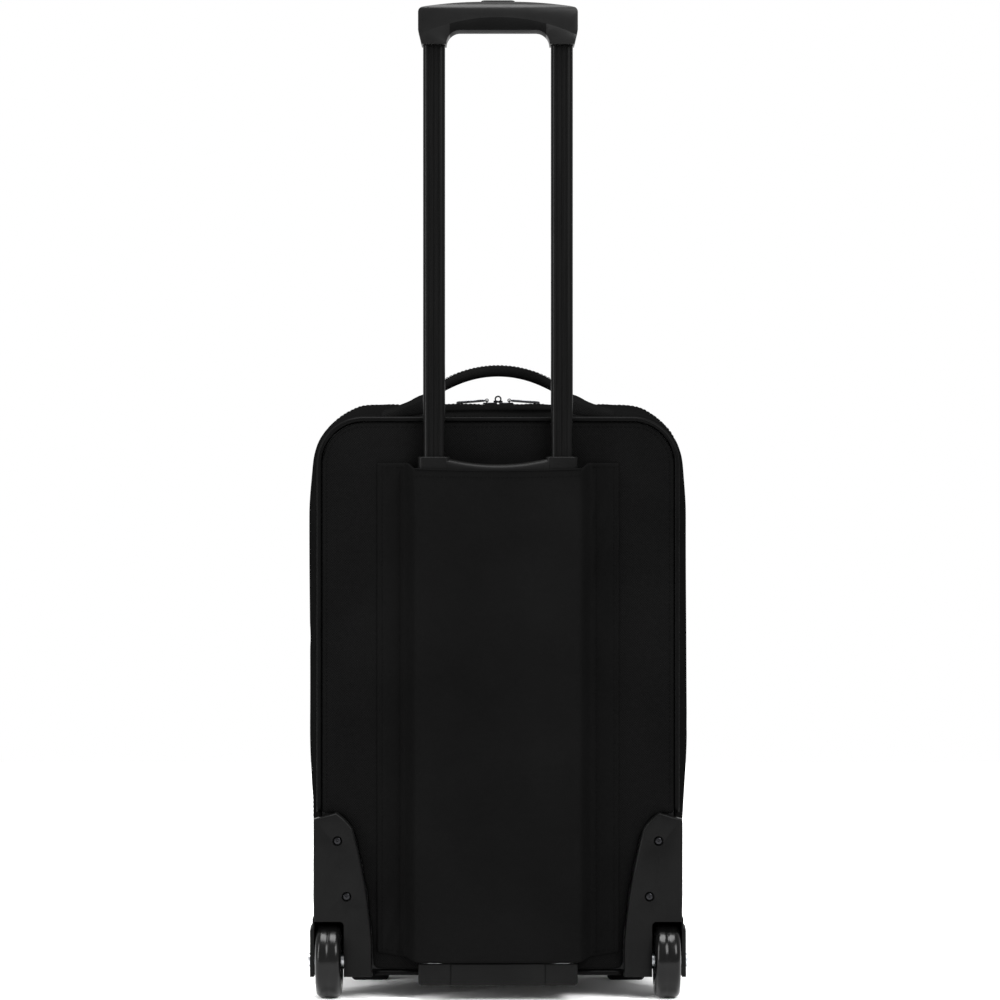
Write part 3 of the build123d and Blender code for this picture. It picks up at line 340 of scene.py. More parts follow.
def moulded(name, grain, dark, light, roughness, gloss, relief, wear=0.12):
    """Injection-moulded plastic or rubber with the fine texture of its mould."""
    finish, tree, shader = new_finish(name)
    spot = add_node(tree, "ShaderNodeTexCoord")
    spark = add_node(tree, "ShaderNodeTexNoise", {"Vector": spot.outputs["Object"], "Scale": 1 / grain,
                                                  "Detail": 2.0, "Roughness": 0.5})
    handled = add_node(tree, "ShaderNodeTexNoise", {"Vector": spot.outputs["Object"], "Scale": 24.0,
                                                    "Detail": 5.0, "Roughness": 0.6})
    paint = add_node(tree, "ShaderNodeMix", {"Factor": handled.outputs["Fac"], "A": colour(dark),
                                             "B": colour(light)}, data_type="RGBA")
    shine = add_node(tree, "ShaderNodeMapRange", {"Value": handled.outputs["Fac"], "From Min": 0.3,
                                                  "From Max": 0.7, "To Min": roughness - wear / 2,
                                                  "To Max": roughness + wear / 2})
    bump = add_node(tree, "ShaderNodeBump", {"Height": spark.outputs["Fac"], "Strength": relief,
                                             "Distance": 0.15 * grain})
    tree.links.new(paint.outputs["Result"], shader.inputs["Base Color"])
    tree.links.new(shine.outputs["Result"], shader.inputs["Roughness"])
    tree.links.new(bump.outputs["Normal"], shader.inputs["Normal"])
    shader.inputs["Specular IOR Level"].default_value = gloss
    return finish


def drawn_metal(name, tint, light, roughness, line, stretch, metallic=1.0, gloss=0.5):
    """Metal with the fine lines that drawing, turning or plating leaves, stretched along one axis."""
    finish, tree, shader = new_finish(name)
    spot = add_node(tree, "ShaderNodeTexCoord")
    pulled = add_node(tree, "ShaderNodeMapping", {"Vector": spot.outputs["Object"],
                                                  "Scale": [1 / (line * s) for s in stretch]})
    lines = add_node(tree, "ShaderNodeTexNoise", {"Vector": pulled.outputs["Vector"], "Scale": 1.0,
                                                  "Detail": 3.0, "Roughness": 0.6})
    paint = add_node(tree, "ShaderNodeMix", {"Factor": lines.outputs["Fac"], "A": colour(tint),
                                             "B": colour(light)}, data_type="RGBA")
    shine = add_node(tree, "ShaderNodeMapRange", {"Value": lines.outputs["Fac"], "From Min": 0.3,
                                                  "From Max": 0.7, "To Min": roughness - 0.06,
                                                  "To Max": roughness + 0.08})
    bump = add_node(tree, "ShaderNodeBump", {"Height": lines.outputs["Fac"], "Strength": 0.12,
                                             "Distance": 0.05 * MM})
    tree.links.new(paint.outputs["Result"], shader.inputs["Base Color"])
    tree.links.new(shine.outputs["Result"], shader.inputs["Roughness"])
    tree.links.new(bump.outputs["Normal"], shader.inputs["Normal"])
    shader.inputs["Metallic"].default_value = metallic
    shader.inputs["Specular IOR Level"].default_value = gloss
    return finish


# Coarse nylon-like polyester in a basket weave: deep black, nearly no shine. Its real threads
# are 0.6 mm, and are drawn twice as wide so that they show.
ballistic_polyester = woven("ballistic_polyester", 1.2 * MM, "#050505", "#0b0b0b", 0.95, 0.0, 0.0, 0.7)
# Plain-woven polyester of the tube cover: finer and a little smoother than the body cloth.
cover_polyester = woven("plain_woven_polyester", 0.9 * MM, "#050505", "#0b0b0b", 0.92, 0.0, 0.0, 0.5)
# Thin grey taffeta, calendered, so that it catches light along its folds.
taffeta_lining = woven("taffeta_lining", 0.6 * MM, "#3c3e42", "#55575c", 0.6, 0.1, 0.3, 0.25)
# Woven zip tape: a narrow dense twill.
zip_tape_twill = woven("zip_tape_twill", 0.7 * MM, "#060606", "#0b0b0b", 0.9, 0.0, 0.0, 0.4)
# Nylon webbing with its ribs across the strap.
nylon_webbing = woven("nylon_webbing", 1.4 * MM, "#060606", "#0e0e0e", 0.8, 0.0, 0.0, 0.6)
# Bonded polyester sewing thread.
sewing_thread = woven("bonded_thread", 0.4 * MM, "#050505", "#0b0b0b", 0.8, 0.0, 0.0, 0.2)
# Extruded soft vinyl cord: smooth, with a low satin shine.
extruded_vinyl = moulded("extruded_vinyl", 0.9 * MM, "#020202", "#060606", 0.36, 0.02, 0.08)
# Nylon coil of the zip, set in the loom.
nylon_coil = moulded("nylon_coil", 0.5 * MM, "#080808", "#101010", 0.35, 0.1, 0.05)
# ABS with a spark-eroded texture: an even dark grey-black with soft highlights.
textured_abs = moulded("spark_textured_abs", 0.7 * MM, "#050505", "#0d0d0d", 0.34, 0.035, 0.25)
# The grip's softer, paler plastic, polished a little by hands on its crown.
grip_polypropylene = moulded("grip_polypropylene", 0.8 * MM, "#070707", "#0d0d0d", 0.33, 0.09, 0.18)
# The button's plastic, a shade lighter and smoother than the grip.
button_abs = moulded("button_abs", 0.6 * MM, "#0b0b0b", "#111111", 0.3, 0.08, 0.12)
# Soft overmoulded rubber under the grip's middle, coloured darker than the grip as painted shade under it.
insert_rubber_painted_shade = moulded("overmoulded_rubber", 0.9 * MM, "#030303", "#070707", 0.5, 0.02, 0.25)
natural_acetal = moulded("natural_acetal", 0.9 * MM, "#b9b7ae", "#cfccc2", 0.42, 0.4, 0.06)
# Cast polyurethane tread, worn shiny where it rolls.
cast_polyurethane = moulded("cast_polyurethane", 1.2 * MM, "#020202", "#060606", 0.2, 0.12, 0.05, 0.1)
# Glass-filled nylon of the hubs: grey, dull, faintly mottled.
glass_filled_nylon = moulded("glass_filled_nylon", 0.6 * MM, "#0f1011", "#161718", 0.42, 0.1, 0.2)
moulded_rubber = moulded("moulded_rubber", 0.9 * MM, "#080808", "#0d0d0d", 0.6, 0.03, 0.25)
# Extruded polypropylene sheet of the stiffeners: waxy and flat.
polypropylene_sheet = moulded("polypropylene_sheet", 1.5 * MM, "#0b0b0b", "#131314", 0.5, 0.15, 0.1)
# Aluminium tube under a satin black coating, with faint draw lines up its length.
coated_aluminium = drawn_metal("coated_aluminium", "#030303", "#070707", 0.3, 0.7 * MM, (1, 1, 120),
                               metallic=0.0, gloss=0.05)
bare_aluminium = drawn_metal("extruded_aluminium", "#b8babd", "#c9cbce", 0.34, 0.6 * MM, (1, 1, 90))
# Zinc casting under dark nickel: bright, faintly uneven.
nickel_plated_zinc = drawn_metal("nickel_plated_zinc", "#2c2d2f", "#505154", 0.26, 1.2 * MM, (1, 1, 1))
# The sliders' own casting, plated darker than the pulls.
gunmetal_zinc = drawn_metal("gunmetal_plated_zinc", "#141415", "#2e2f31", 0.24, 1.2 * MM, (1, 1, 1))
zinc_plated_steel = drawn_metal("zinc_plated_steel", "#a6a8ab", "#bcbec1", 0.3, 0.8 * MM, (6, 1, 1))
bearing_steel = drawn_metal("ground_bearing_steel", "#b4b6b9", "#c8cacd", 0.2, 0.6 * MM, (8, 1, 1))
blackened_steel = drawn_metal("blackened_steel", "#161617", "#262628", 0.3, 0.7 * MM, (1, 4, 1))
spring_wire_steel = drawn_metal("spring_wire", "#9fa1a4", "#b5b7ba", 0.26, 0.4 * MM, (1, 1, 1))

NODE_FINISH = {
    "stiffener_sheet": polypropylene_sheet, "fixed_tube_metal": bare_aluminium,
    "tube_metal": coated_aluminium, "moulded_black": textured_abs, "grip_plastic": grip_polypropylene,
    "button_plastic": button_abs, "glide_plastic": natural_acetal, "tyre_rubber": cast_polyurethane,
    "hub_plastic": glass_filled_nylon, "bearing_steel": bearing_steel, "axle_steel": zinc_plated_steel,
    "screw_steel": blackened_steel, "spring_steel": spring_wire_steel, "foot_rubber": moulded_rubber,
    "zip_metal": nickel_plated_zinc, "ballistic_fabric": ballistic_polyester,
    "cover_fabric": cover_polyester, "lining_fabric": taffeta_lining, "piping_vinyl": extruded_vinyl,
    "zip_tape": zip_tape_twill, "webbing": nylon_webbing,
}


def dress(piece, finish):
    piece.data.materials.clear()
    piece.data.materials.append(finish)
    return piece


def fit_out(piece, body, finish, nodes=()):
    """Gives a piece its material, unless its row has set one, its body and what it stands for."""
    if finish:
        dress(piece, finish)
    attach(piece, body)
    if nodes:
        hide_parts(*nodes)
    return piece


SLOT_OF = {s["node"]: s["material_slot"] for s in frame["record"]["subparts"]}
for label, node in frame["nodes"].items():
    for spot in node.material_slots:
        spot.material = NODE_FINISH[SLOT_OF[label]]


# ---------------------------------------------------------------------- soft body, lofted
def ring(y, grow=0.0, step=7 * MM):
    """Points and outward directions round the case at one depth, from the middle of its underside."""
    half, low, top, corner = shape_at(y)
    half, low, top, corner = half + grow, low - grow, top + grow, corner + grow
    n_flat = round((ZIP[0] - ZIP[3]) / step)
    n_tall = round((ZIP[2] - ZIP[1] - 2 * ZIP[3]) / step)
    n_turn = round(math.pi / 2 * ZIP[3] / step)
    flat, places = half - corner, []
    for i in range(n_flat):
        places.append((flat * i / n_flat, low, 0.0, -1.0))
    for i in range(n_turn):
        a = math.pi / 2 * (i / n_turn - 1)
        c, s = math.cos(a), math.sin(a)
        places.append((flat + corner * c, low + corner + corner * s, c, s))
    for i in range(n_tall):
        places.append((half, low + corner + (top - low - 2 * corner) * i / n_tall, 1.0, 0.0))
    for i in range(n_turn):
        a = math.pi / 2 * i / n_turn
        c, s = math.cos(a), math.sin(a)
        places.append((flat + corner * c, top - corner + corner * s, c, s))
    for i in range(n_flat):
        places.append((flat * (1 - i / n_flat), top, 0.0, 1.0))
    mirrored = [(-x, z, -nx, nz) for x, z, nx, nz in places[1:]]
    places.append((0.0, top, 0.0, 1.0))
    places += reversed(mirrored)
    return [(Vector((x, y, z)), Vector((nx, 0, nz))) for x, z, nx, nz in places]


def outward_of_case(point):
    """Rough outward direction on the side walls, enough to tell a face's right side."""
    return Vector((point.x, 0, point.z - (ZIP[1] + ZIP[2]) / 2)).normalized()


def blow_up(piece, held, pressure, reach, slack=0.0):
    """Fills a fabric piece with a little air while its seams are held, and caps how far it moves."""
    start = [v.co.copy() for v in piece.data.vertices]
    group = piece.vertex_groups.new(name="held")
    for vertex in piece.data.vertices:
        weight = held(vertex)
        if weight > 0:
            group.add([vertex.index], weight, "REPLACE")
    cloth = modify(piece, "CLOTH")
    cloth.settings.vertex_group_mass = "held"
    cloth.settings.use_pressure = True
    cloth.settings.uniform_pressure_force = pressure
    cloth.settings.effector_weights.gravity = 0
    cloth.settings.quality = 6
    cloth.settings.shrink_min = -slack
    cloth.settings.bending_stiffness = 2.0
    cloth.collision_settings.use_collision = False
    scene = bpy.context.scene
    for number in range(1, 21):
        scene.frame_set(number)
    evaluated = piece.evaluated_get(bpy.context.evaluated_depsgraph_get())
    moved = [v.co.copy() for v in evaluated.data.vertices]
    piece.modifiers.clear()
    scene.frame_set(1)
    for vertex, old, new in zip(piece.data.vertices, start, moved):
        shift = new - old
        if shift.length > reach:
            shift *= reach / shift.length
        vertex.co = old + shift
    piece.vertex_groups.clear()
    piece.data.update()
    return piece


def cut_away(piece, blocks):
    """Takes plain blocks, given as (low corner, high corner), out of a closed piece."""
    bm = bmesh.new()
    for low, high in blocks:
        made = bmesh.ops.create_cube(bm, size=1.0)["verts"]
        size, middle = Vector(high) - Vector(low), (Vector(high) + Vector(low)) / 2
        for vertex in made:
            vertex.co = Vector([c * s + m for c, s, m in zip(vertex.co, size, middle)])
    cutter = from_bmesh("cutter", bm)
    modify(piece, "BOOLEAN", operation="DIFFERENCE", solver="EXACT", object=cutter, use_self=True)
    settle(piece)
    bpy.data.objects.remove(cutter)
    return piece


def both_sides(low, high):
    """A block on the left and its mirror image on the right."""
    return [(low, high), ((-high[0], low[1], low[2]), (-low[0], high[1], high[2]))]


housing_low, housing_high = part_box("wheel_housing_left")
anchor_low, anchor_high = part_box("carry_anchors")
well_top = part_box("wheel_tyre_left")[1].z + 6.2 * MM
WHEEL_WELLS = both_sides((housing_low.x + 19.5 * MM, housing_low.y - 0.2 * MM, -0.1), (0.3, 0.3, well_top))
cover_low, cover_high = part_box("tube_cover")


def side_wall(name, y_panel, y_seam, sag, flank_bulge):
    """A side wall from a panel's piping to the zip, a loft that puffs between its seams."""
    count = max(6, round(abs(y_panel - y_seam) / (7 * MM)))
    rows = []
    for r in range(count + 1):
        share = r / count
        row = []
        for place, out in ring(y_panel + (y_seam - y_panel) * share):
            upright = ease(place.z, ZIP[1] + 5 * MM, ZIP[1] + 60 * MM)
            fall = noise.noise(Vector((place.x * 9, place.z * 9, share * 2.5)))
            belly = math.sin(math.pi * share) ** 0.7 * upright
            flank = abs(out.x) * ease(place.z, 150 * MM, 250 * MM) * (1 - ease(place.z, 455 * MM, 520 * MM))
            row.append(place + out * (belly * (sag * (0.6 + 0.5 * fall) + flank * flank_bulge)))
        rows.append(row)
    wall = sheet_from_rows(name, rows, True, outward_of_case)
    near, far = min(y_panel, y_seam), max(y_panel, y_seam)

    def held(vertex):
        co = vertex.co
        if co.y < near + 2 * MM or co.y > far - 2 * MM or co.z < ZIP[1] + 12 * MM:
            return 1.0
        by_wheel = abs(co.x) > 0.14 and co.z < housing_high.z + 10 * MM and co.y > housing_low.y - 8 * MM
        top = co.z > ZIP[2] - 30 * MM and 60 * MM < abs(co.x) < 112 * MM
        by_anchor = top and anchor_low.y - 8 * MM < co.y < anchor_high.y + 8 * MM
        return 1.0 if by_wheel or by_anchor else 0.0

    blow_up(wall, held, 2.2, 2.2 * MM, 0.012)
    thicken(wall, SKIN - 0.2 * MM)
    return wall


rear_wall = side_wall("rear_side_wall", Y_BACK - 0.4 * MM, Y_ZIP + TAPE_EDGE, 1.6 * MM, 4.0 * MM)
subdivide(rear_wall)
cut_away(rear_wall, [
    *WHEEL_WELLS,
    *both_sides((housing_high.x - 20 * MM, Y_BACK - 4.2 * MM, -0.1), (0.3, 0.3, housing_high.z - 6 * MM)),
    *both_sides((housing_low.x - 0.2 * MM, Y_BACK - 4.2 * MM, -0.1), (0.3, 0.3, 50 * MM)),
])
crisp(rear_wall, 50)
fit_out(rear_wall, "case", ballistic_polyester, ["rear_gusset"])

lid_wall = side_wall("lid_side_wall", Y_FRONT + 0.4 * MM, Y_ZIP - TAPE_EDGE, 0.8 * MM, 1.0 * MM)
subdivide(lid_wall)
fit_out(lid_wall, "lid", ballistic_polyester, ["lid_gusset"])


def body_panel(name, node, face_y, outward, held_flat, crown):
    """A foam-backed panel: deepened, remeshed, blown up while its rim is held, and brought back."""
    deep = 4.0
    piece = from_bmesh(name, merged_copy(node))
    for vertex in piece.data.vertices:
        vertex.co.y = face_y + (vertex.co.y - face_y) * deep
    modify(piece, "REMESH", mode="VOXEL", voxel_size=5 * MM)
    settle(piece)
    rim = [v.index for v in piece.data.vertices if abs(v.normal.y) < 0.75]
    sewn = set(rim)

    def held(vertex):
        inner = (vertex.co.y - face_y) * outward < -3 * MM
        return 1.0 if inner or vertex.index in sewn or held_flat(vertex.co) else 0.0

    blow_up(piece, held, 4.0, 8 * MM)
    for vertex in piece.data.vertices:
        rise = (vertex.co.y - face_y) * outward
        ripple = noise.noise(Vector((vertex.co.x * 14, 3.1, vertex.co.z * 10)))
        if rise > 0:
            loose = 0.0 if held_flat(vertex.co) else ripple * 0.35 * MM * ease(rise, 0, 2 * MM)
            vertex.co.y = face_y + outward * (rise * crown + loose)
        else:
            vertex.co.y = face_y + outward * rise / deep
    modify(piece, "SMOOTH", factor=0.5, iterations=3)
    settle(piece)
    subdivide(piece)
    return flat_map(piece)


def under_cover(co):
    """Where the back panel is sewn flat under the tube cover, the cup and the bezel."""
    return abs(co.x) < cover_high.x + 2 * MM and co.z < cover_high.z + 4 * MM


back_pad = body_panel("back_panel_pad", "back_panel", Y_BACK, 1, under_cover, 0.26)
fit_out(back_pad, "case", ballistic_polyester, ["back_panel"])

pocket_low, pocket_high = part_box("pocket_flap")


def under_pocket(co):
    """Where the front pocket is sewn to the front panel."""
    return abs(co.x) < pocket_high.x + 4 * MM and pocket_low.z - 4 * MM < co.z < pocket_high.z + 4 * MM


front_pad = body_panel("front_panel_pad", "front_panel", Y_FRONT, -1, under_pocket, 0.26)
fit_out(front_pad, "lid", ballistic_polyester, ["front_panel"])


# -------------------------------------------------------------------------- front pocket
def rounded_outline(y, half, low, top, corner, steps):
    """Places and outward directions round an upright rectangle with round corners, at one depth."""
    places = []
    for cx, cz, start in ((half - corner, low + corner, -90), (half - corner, top - corner, 0),
                          (corner - half, top - corner, 90), (corner - half, low + corner, 180)):
        for i in range(steps + 1):
            a = math.radians(start + 90 * i / steps)
            out = Vector((math.cos(a), 0, math.sin(a)))
            places.append((Vector((cx, y, cz)) + out * corner, out))
    return places


POCKET_CORNER = 34 * MM


def pocket_ring(y, inset):
    """The pocket's outline at one depth, which draws in towards its face."""
    corner = max(8 * MM, POCKET_CORNER - inset)
    return [p for p, _ in rounded_outline(y, pocket_high.x - inset, pocket_low.z + inset,
                                          pocket_high.z - inset, corner, 8)]


flap_rear = pocket_high.y
pocket_pad = lofted("pocket_pad", [
    pocket_ring(flap_rear + 9 * MM, 0.0), pocket_ring(flap_rear, 0.0),
    pocket_ring(pocket_low.y + 4 * MM, 3.4 * MM), pocket_ring(pocket_low.y + 1.5 * MM, 7 * MM),
])
modify(pocket_pad, "REMESH", mode="VOXEL", voxel_size=5 * MM)
settle(pocket_pad)
blow_up(pocket_pad, lambda v: 1.0 if v.co.y > flap_rear - 3 * MM else 0.0, 4.0, 6 * MM)
bm = bmesh.new()
bm.from_mesh(pocket_pad.data)
bmesh.ops.bisect_plane(bm, geom=bm.verts[:] + bm.edges[:] + bm.faces[:], dist=1e-6,
                       plane_co=(0, flap_rear, 0), plane_no=(0, 1, 0), clear_outer=True)
for vertex in bm.verts:
    ripple = noise.noise(Vector((vertex.co.x * 12, 7.7, vertex.co.z * 12)))
    vertex.co.y += ripple * 0.8 * MM * ease(flap_rear - vertex.co.y, 4 * MM, 16 * MM)
    vertex.co.y = max(vertex.co.y, cad_low.y - 6 * MM)
bm.to_mesh(pocket_pad.data)
bm.free()
thicken(pocket_pad, 2.3 * MM)
subdivide(pocket_pad)
wrap_map(pocket_pad)
fit_out(pocket_pad, "pocket_flap", ballistic_polyester, ["pocket_flap"])


# ------------------------------------------------------------- piping, tapes and their rows
def tube_along(name, points, radius, sides=10, closed=False, flatten=1.0, up=None):
    """A round cord through points, with a UV map in metres along it."""
    sections = []
    count = len(points)
    for i, point in enumerate(points):
        before = points[(i - 1) % count] if closed or i else points[0]
        after = points[(i + 1) % count] if closed or i < count - 1 else points[-1]
        along = (after - before).normalized()
        out = (up[i] if up else Vector((0, 1, 0)))
        out = (out - along * out.dot(along)).normalized()
        side = along.cross(out)
        sections.append([
            point + (out * math.cos(2 * math.pi * k / sides) * flatten
                     + side * math.sin(2 * math.pi * k / sides)) * radius
            for k in range(sides)
        ])
    if closed:
        sections.append(sections[0])
    piece = lofted(name, sections, capped=not closed)
    return welded(piece) if closed else piece


def joined(name, pieces):
    """Several pieces made one mesh."""
    bm = bmesh.new()
    for piece in pieces:
        bm.from_mesh(piece.data)
        bpy.data.objects.remove(piece)
    return from_bmesh(name, bm)


def outline_run(y, grow, keep, step=5 * MM):
    """The stretch of the case's outline that keep() accepts, in order, with outward directions."""
    places = ring(y, grow, step)
    flags = [keep(p) for p, _ in places]
    if all(flags):
        return places
    start = next(i for i, f in enumerate(flags) if f and not flags[i - 1])
    run = []
    for i in range(len(places)):
        k = (start + i) % len(places)
        if not flags[k]:
            break
        run.append(places[k])
    return run


rear_seam = Y_BACK - 1 * MM
above_housings = outline_run(rear_seam, 0, lambda p: p.z > housing_high.z - 5 * MM)
along_bottom = outline_run(
    rear_seam, 0, lambda p: p.z < BACK[1] + 1 * MM and abs(p.x) < housing_low.x - 1 * MM)
rear_piping = joined("rear_piping_cord", [
    tube_along("cord_a", [p for p, _ in above_housings], PIPING_R),
    tube_along("cord_b", [p for p, _ in along_bottom], PIPING_R),
])
fit_out(rear_piping, "case", extruded_vinyl, ["rear_piping"])
front_piping = tube_along("front_piping_cord", [p for p, _ in ring(Y_FRONT + 1 * MM, 0, 5 * MM)],
                          PIPING_R, closed=True)
fit_out(front_piping, "lid", extruded_vinyl, ["front_piping"])
hinge_welt = tube_along("lid_hinge_cord", [
    Vector((welt_low.x + (welt_high.x - welt_low.x) * i / 60, Y_ZIP, (welt_low.z + welt_high.z) / 2))
    for i in range(61)
], (welt_high.z - welt_low.z) / 2, up=[Vector((0, 0, 1))] * 61)
fit_out(hinge_welt, "case", extruded_vinyl, ["lid_hinge_welt"])


def zip_tape(name, y_outer, y_inner):
    """A strip of tape that runs up one side, over the crown and down the other."""
    def above(p):
        return p.z > ZIP_FLOOR

    outer = outline_run(y_outer, -0.7 * MM, above)
    inner = outline_run(y_inner, -0.7 * MM, above)
    strip = sheet_from_rows(name, [[p for p, _ in outer], [p for p, _ in inner]], False, outward_of_case)
    return thicken(strip, 1.1 * MM)


def new_tree(name, sockets):
    """An empty geometry tree with named inputs and one result, and what its inputs give."""
    tree = bpy.data.node_groups.new(name, "GeometryNodeTree")
    for label, kind in sockets.items():
        tree.interface.new_socket(label, in_out="INPUT", socket_type="NodeSocket" + kind)
    tree.interface.new_socket("Result", in_out="OUTPUT", socket_type="NodeSocketGeometry")
    return tree, add_node(tree, "NodeGroupInput").outputs


def end_tree(tree, instances, finish):
    """Makes a tree's instances real, paints them and hands them out."""
    solid = add_node(tree, "GeometryNodeRealizeInstances", {"Geometry": instances})
    painted = add_node(tree, "GeometryNodeSetMaterial", {"Geometry": solid.outputs["Geometry"],
                                                         "Material": finish})
    add_node(tree, "NodeGroupOutput", {"Result": painted.outputs["Geometry"]})
    return tree


def grown(name, runs, tree, values, linked=True, closed=False):
    """Runs a tree on points, each a (place, outward direction), with the tree's inputs set."""
    bm = bmesh.new()
    out_layer = bm.verts.layers.float_vector.new("outward")
    for run in runs:
        verts = []
        for place, out in run:
            vertex = bm.verts.new(place)
            vertex[out_layer] = out
            verts.append(vertex)
        if linked:
            for a, b in zip(verts, verts[1:] + (verts[:1] if closed else [])):
                bm.edges.new((a, b))
    piece = from_bmesh(name, bm)
    modifier = modify(piece, "NODES", node_group=tree)
    sockets = {s.name: s.identifier for s in tree.interface.items_tree if s.in_out == "INPUT"}
    for label, value in values.items():
        modifier[sockets[label]] = value
    return settle(piece)


def seam_tree():
    """A tree that sets one small piece again and again along a seam, upright on the surface."""
    tree, given = new_tree("set_along_seam", {"Seam": "Geometry", "Item": "Object", "Pitch": "Float",
                                              "Unevenness": "Float", "Seed": "Int", "Finish": "Material"})
    item = add_node(tree, "GeometryNodeObjectInfo", {"Object": given["Item"]})
    line = add_node(tree, "GeometryNodeMeshToCurve", {"Mesh": given["Seam"]})
    even = add_node(tree, "GeometryNodeResampleCurve", {"Curve": line.outputs["Curve"],
                                                        "Length": given["Pitch"]}, mode="LENGTH")
    outward = add_node(tree, "GeometryNodeInputNamedAttribute", {"Name": "outward"}, data_type="FLOAT_VECTOR")
    tangent = add_node(tree, "GeometryNodeInputTangent")
    stand = add_node(tree, "FunctionNodeAlignRotationToVector", {"Vector": outward.outputs["Attribute"]},
                     axis="Z")
    turn = add_node(tree, "FunctionNodeAlignRotationToVector", {"Rotation": stand.outputs["Rotation"],
                                                                "Vector": tangent.outputs["Tangent"]},
                    axis="X", pivot_axis="Z")
    least = add_node(tree, "ShaderNodeMath", {0: 1.0, 1: given["Unevenness"]}, operation="SUBTRACT")
    most = add_node(tree, "ShaderNodeMath", {0: 1.0, 1: given["Unevenness"]}, operation="ADD")
    size = add_node(tree, "FunctionNodeRandomValue", {"Seed": given["Seed"]}, data_type="FLOAT")
    tree.links.new(least.outputs[0], size.inputs[2])
    tree.links.new(most.outputs[0], size.inputs[3])
    row = add_node(tree, "GeometryNodeInstanceOnPoints", {
        "Points": even.outputs["Curve"], "Instance": item.outputs["Geometry"],
        "Rotation": turn.outputs["Rotation"], "Scale": size.outputs[1]})
    return end_tree(tree, row.outputs["Instances"], given["Finish"])


along_seam = seam_tree()


def row_on(name, runs, item, pitch, finish, unevenness=0.05, seed=7, closed=False):
    """Sets an item along seams, each a list of (place, outward direction), as one plain mesh."""
    seam = grown(name, runs, along_seam, {"Item": item, "Pitch": pitch, "Unevenness": unevenness,
                                          "Seed": seed, "Finish": finish}, closed=closed)
    layer = seam.data.uv_layers.get("cloth") or seam.data.uv_layers.new(name="cloth")
    seam.data.uv_layers.active = layer
    return wrap_map(seam)


def stitch_item(length, width, rise):
    """One stitch: a short thread that dips into the cloth at both ends."""
    sections = []
    for share, lift, girth in ((-1, -0.9, 0.55), (-0.72, 0.1, 0.95), (0, 0.55, 1.0),
                               (0.72, 0.1, 0.95), (1, -0.9, 0.55)):
        x = share * length / 2
        sections.append([
            Vector((x, girth * width / 2 * math.cos(math.pi * k / 3),
                    lift * rise + girth * width / 2 * math.sin(math.pi * k / 3)))
            for k in range(6)
        ])
    return lofted("stitch", sections)


def tooth_item():
    """One turn of the zip's coil: a rounded nylon loop that reaches over the middle."""
    sections = []
    for y, wide, tall in ((-0.2, 0.35, 0.5), (0.3, 0.62, 0.95), (1.6, 0.62, 1.1),
                          (2.9, 0.55, 0.95), (3.4, 0.3, 0.4)):
        turns = [2 * math.pi * k / 8 for k in range(8)]
        sections.append([Vector((wide * math.cos(a), y, -0.55 + tall * math.sin(a))) * MM for a in turns])
    return lofted("coil_turn", sections)


stitch = stitch_item(3.0 * MM, 0.62 * MM, 0.3 * MM)
tooth = tooth_item()
spent_items = [stitch, tooth]

case_tape = zip_tape("case_zip_tape", Y_ZIP + TAPE_EDGE + 0.4 * MM, Y_ZIP + 1.6 * MM)
lid_tape = zip_tape("lid_zip_tape", Y_ZIP - TAPE_EDGE - 0.4 * MM, Y_ZIP - 1.6 * MM)
fit_out(case_tape, "case", zip_tape_twill)
fit_out(lid_tape, "lid", zip_tape_twill)


def above_zip_end(p):
    return p.z > ZIP_FLOOR + 2 * MM


rear_chain = outline_run(Y_ZIP + 3.0 * MM, -0.2 * MM, above_zip_end)
front_chain = outline_run(Y_ZIP - 3.0 * MM, -0.2 * MM, above_zip_end)
case_teeth = row_on("case_zip_coil", [list(reversed(rear_chain))], tooth, 2.5 * MM, nylon_coil, 0.02, 3)
lid_teeth = row_on("lid_zip_coil", [front_chain], tooth, 2.5 * MM, nylon_coil, 0.02, 4)
for teeth, body, node in ((case_teeth, "case", "zip_half_case"), (lid_teeth, "lid", "zip_half_lid")):
    fit_out(teeth, body, None, [node])

# ------------------------------------------------------------------------ tube cover
COVER_SEAMS = (4.5 * MM, 21 * MM)  # stitch rows in from the edge of each margin
tube_low, tube_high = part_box("outer_tube_left")
fold_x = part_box("tube_bezel")[1].x + 2.7 * MM  # where the cover leaves its flat middle
slope_end = fold_x + 9 * MM


def cover_edge(x, upper):
    """Height of the cover's lower or upper edge at one place across it."""
    aside = ease(abs(x), fold_x, slope_end)
    if upper:
        dip = 1.6 * MM * math.cos(min(1.0, abs(x) / fold_x) * math.pi / 2)
        return cover_high.z - 5.5 * MM - dip + aside * 5.5 * MM
    return cover_low.z + 7 * MM * max(0.0, (abs(x) - 70 * MM) / (cover_high.x - 70 * MM))


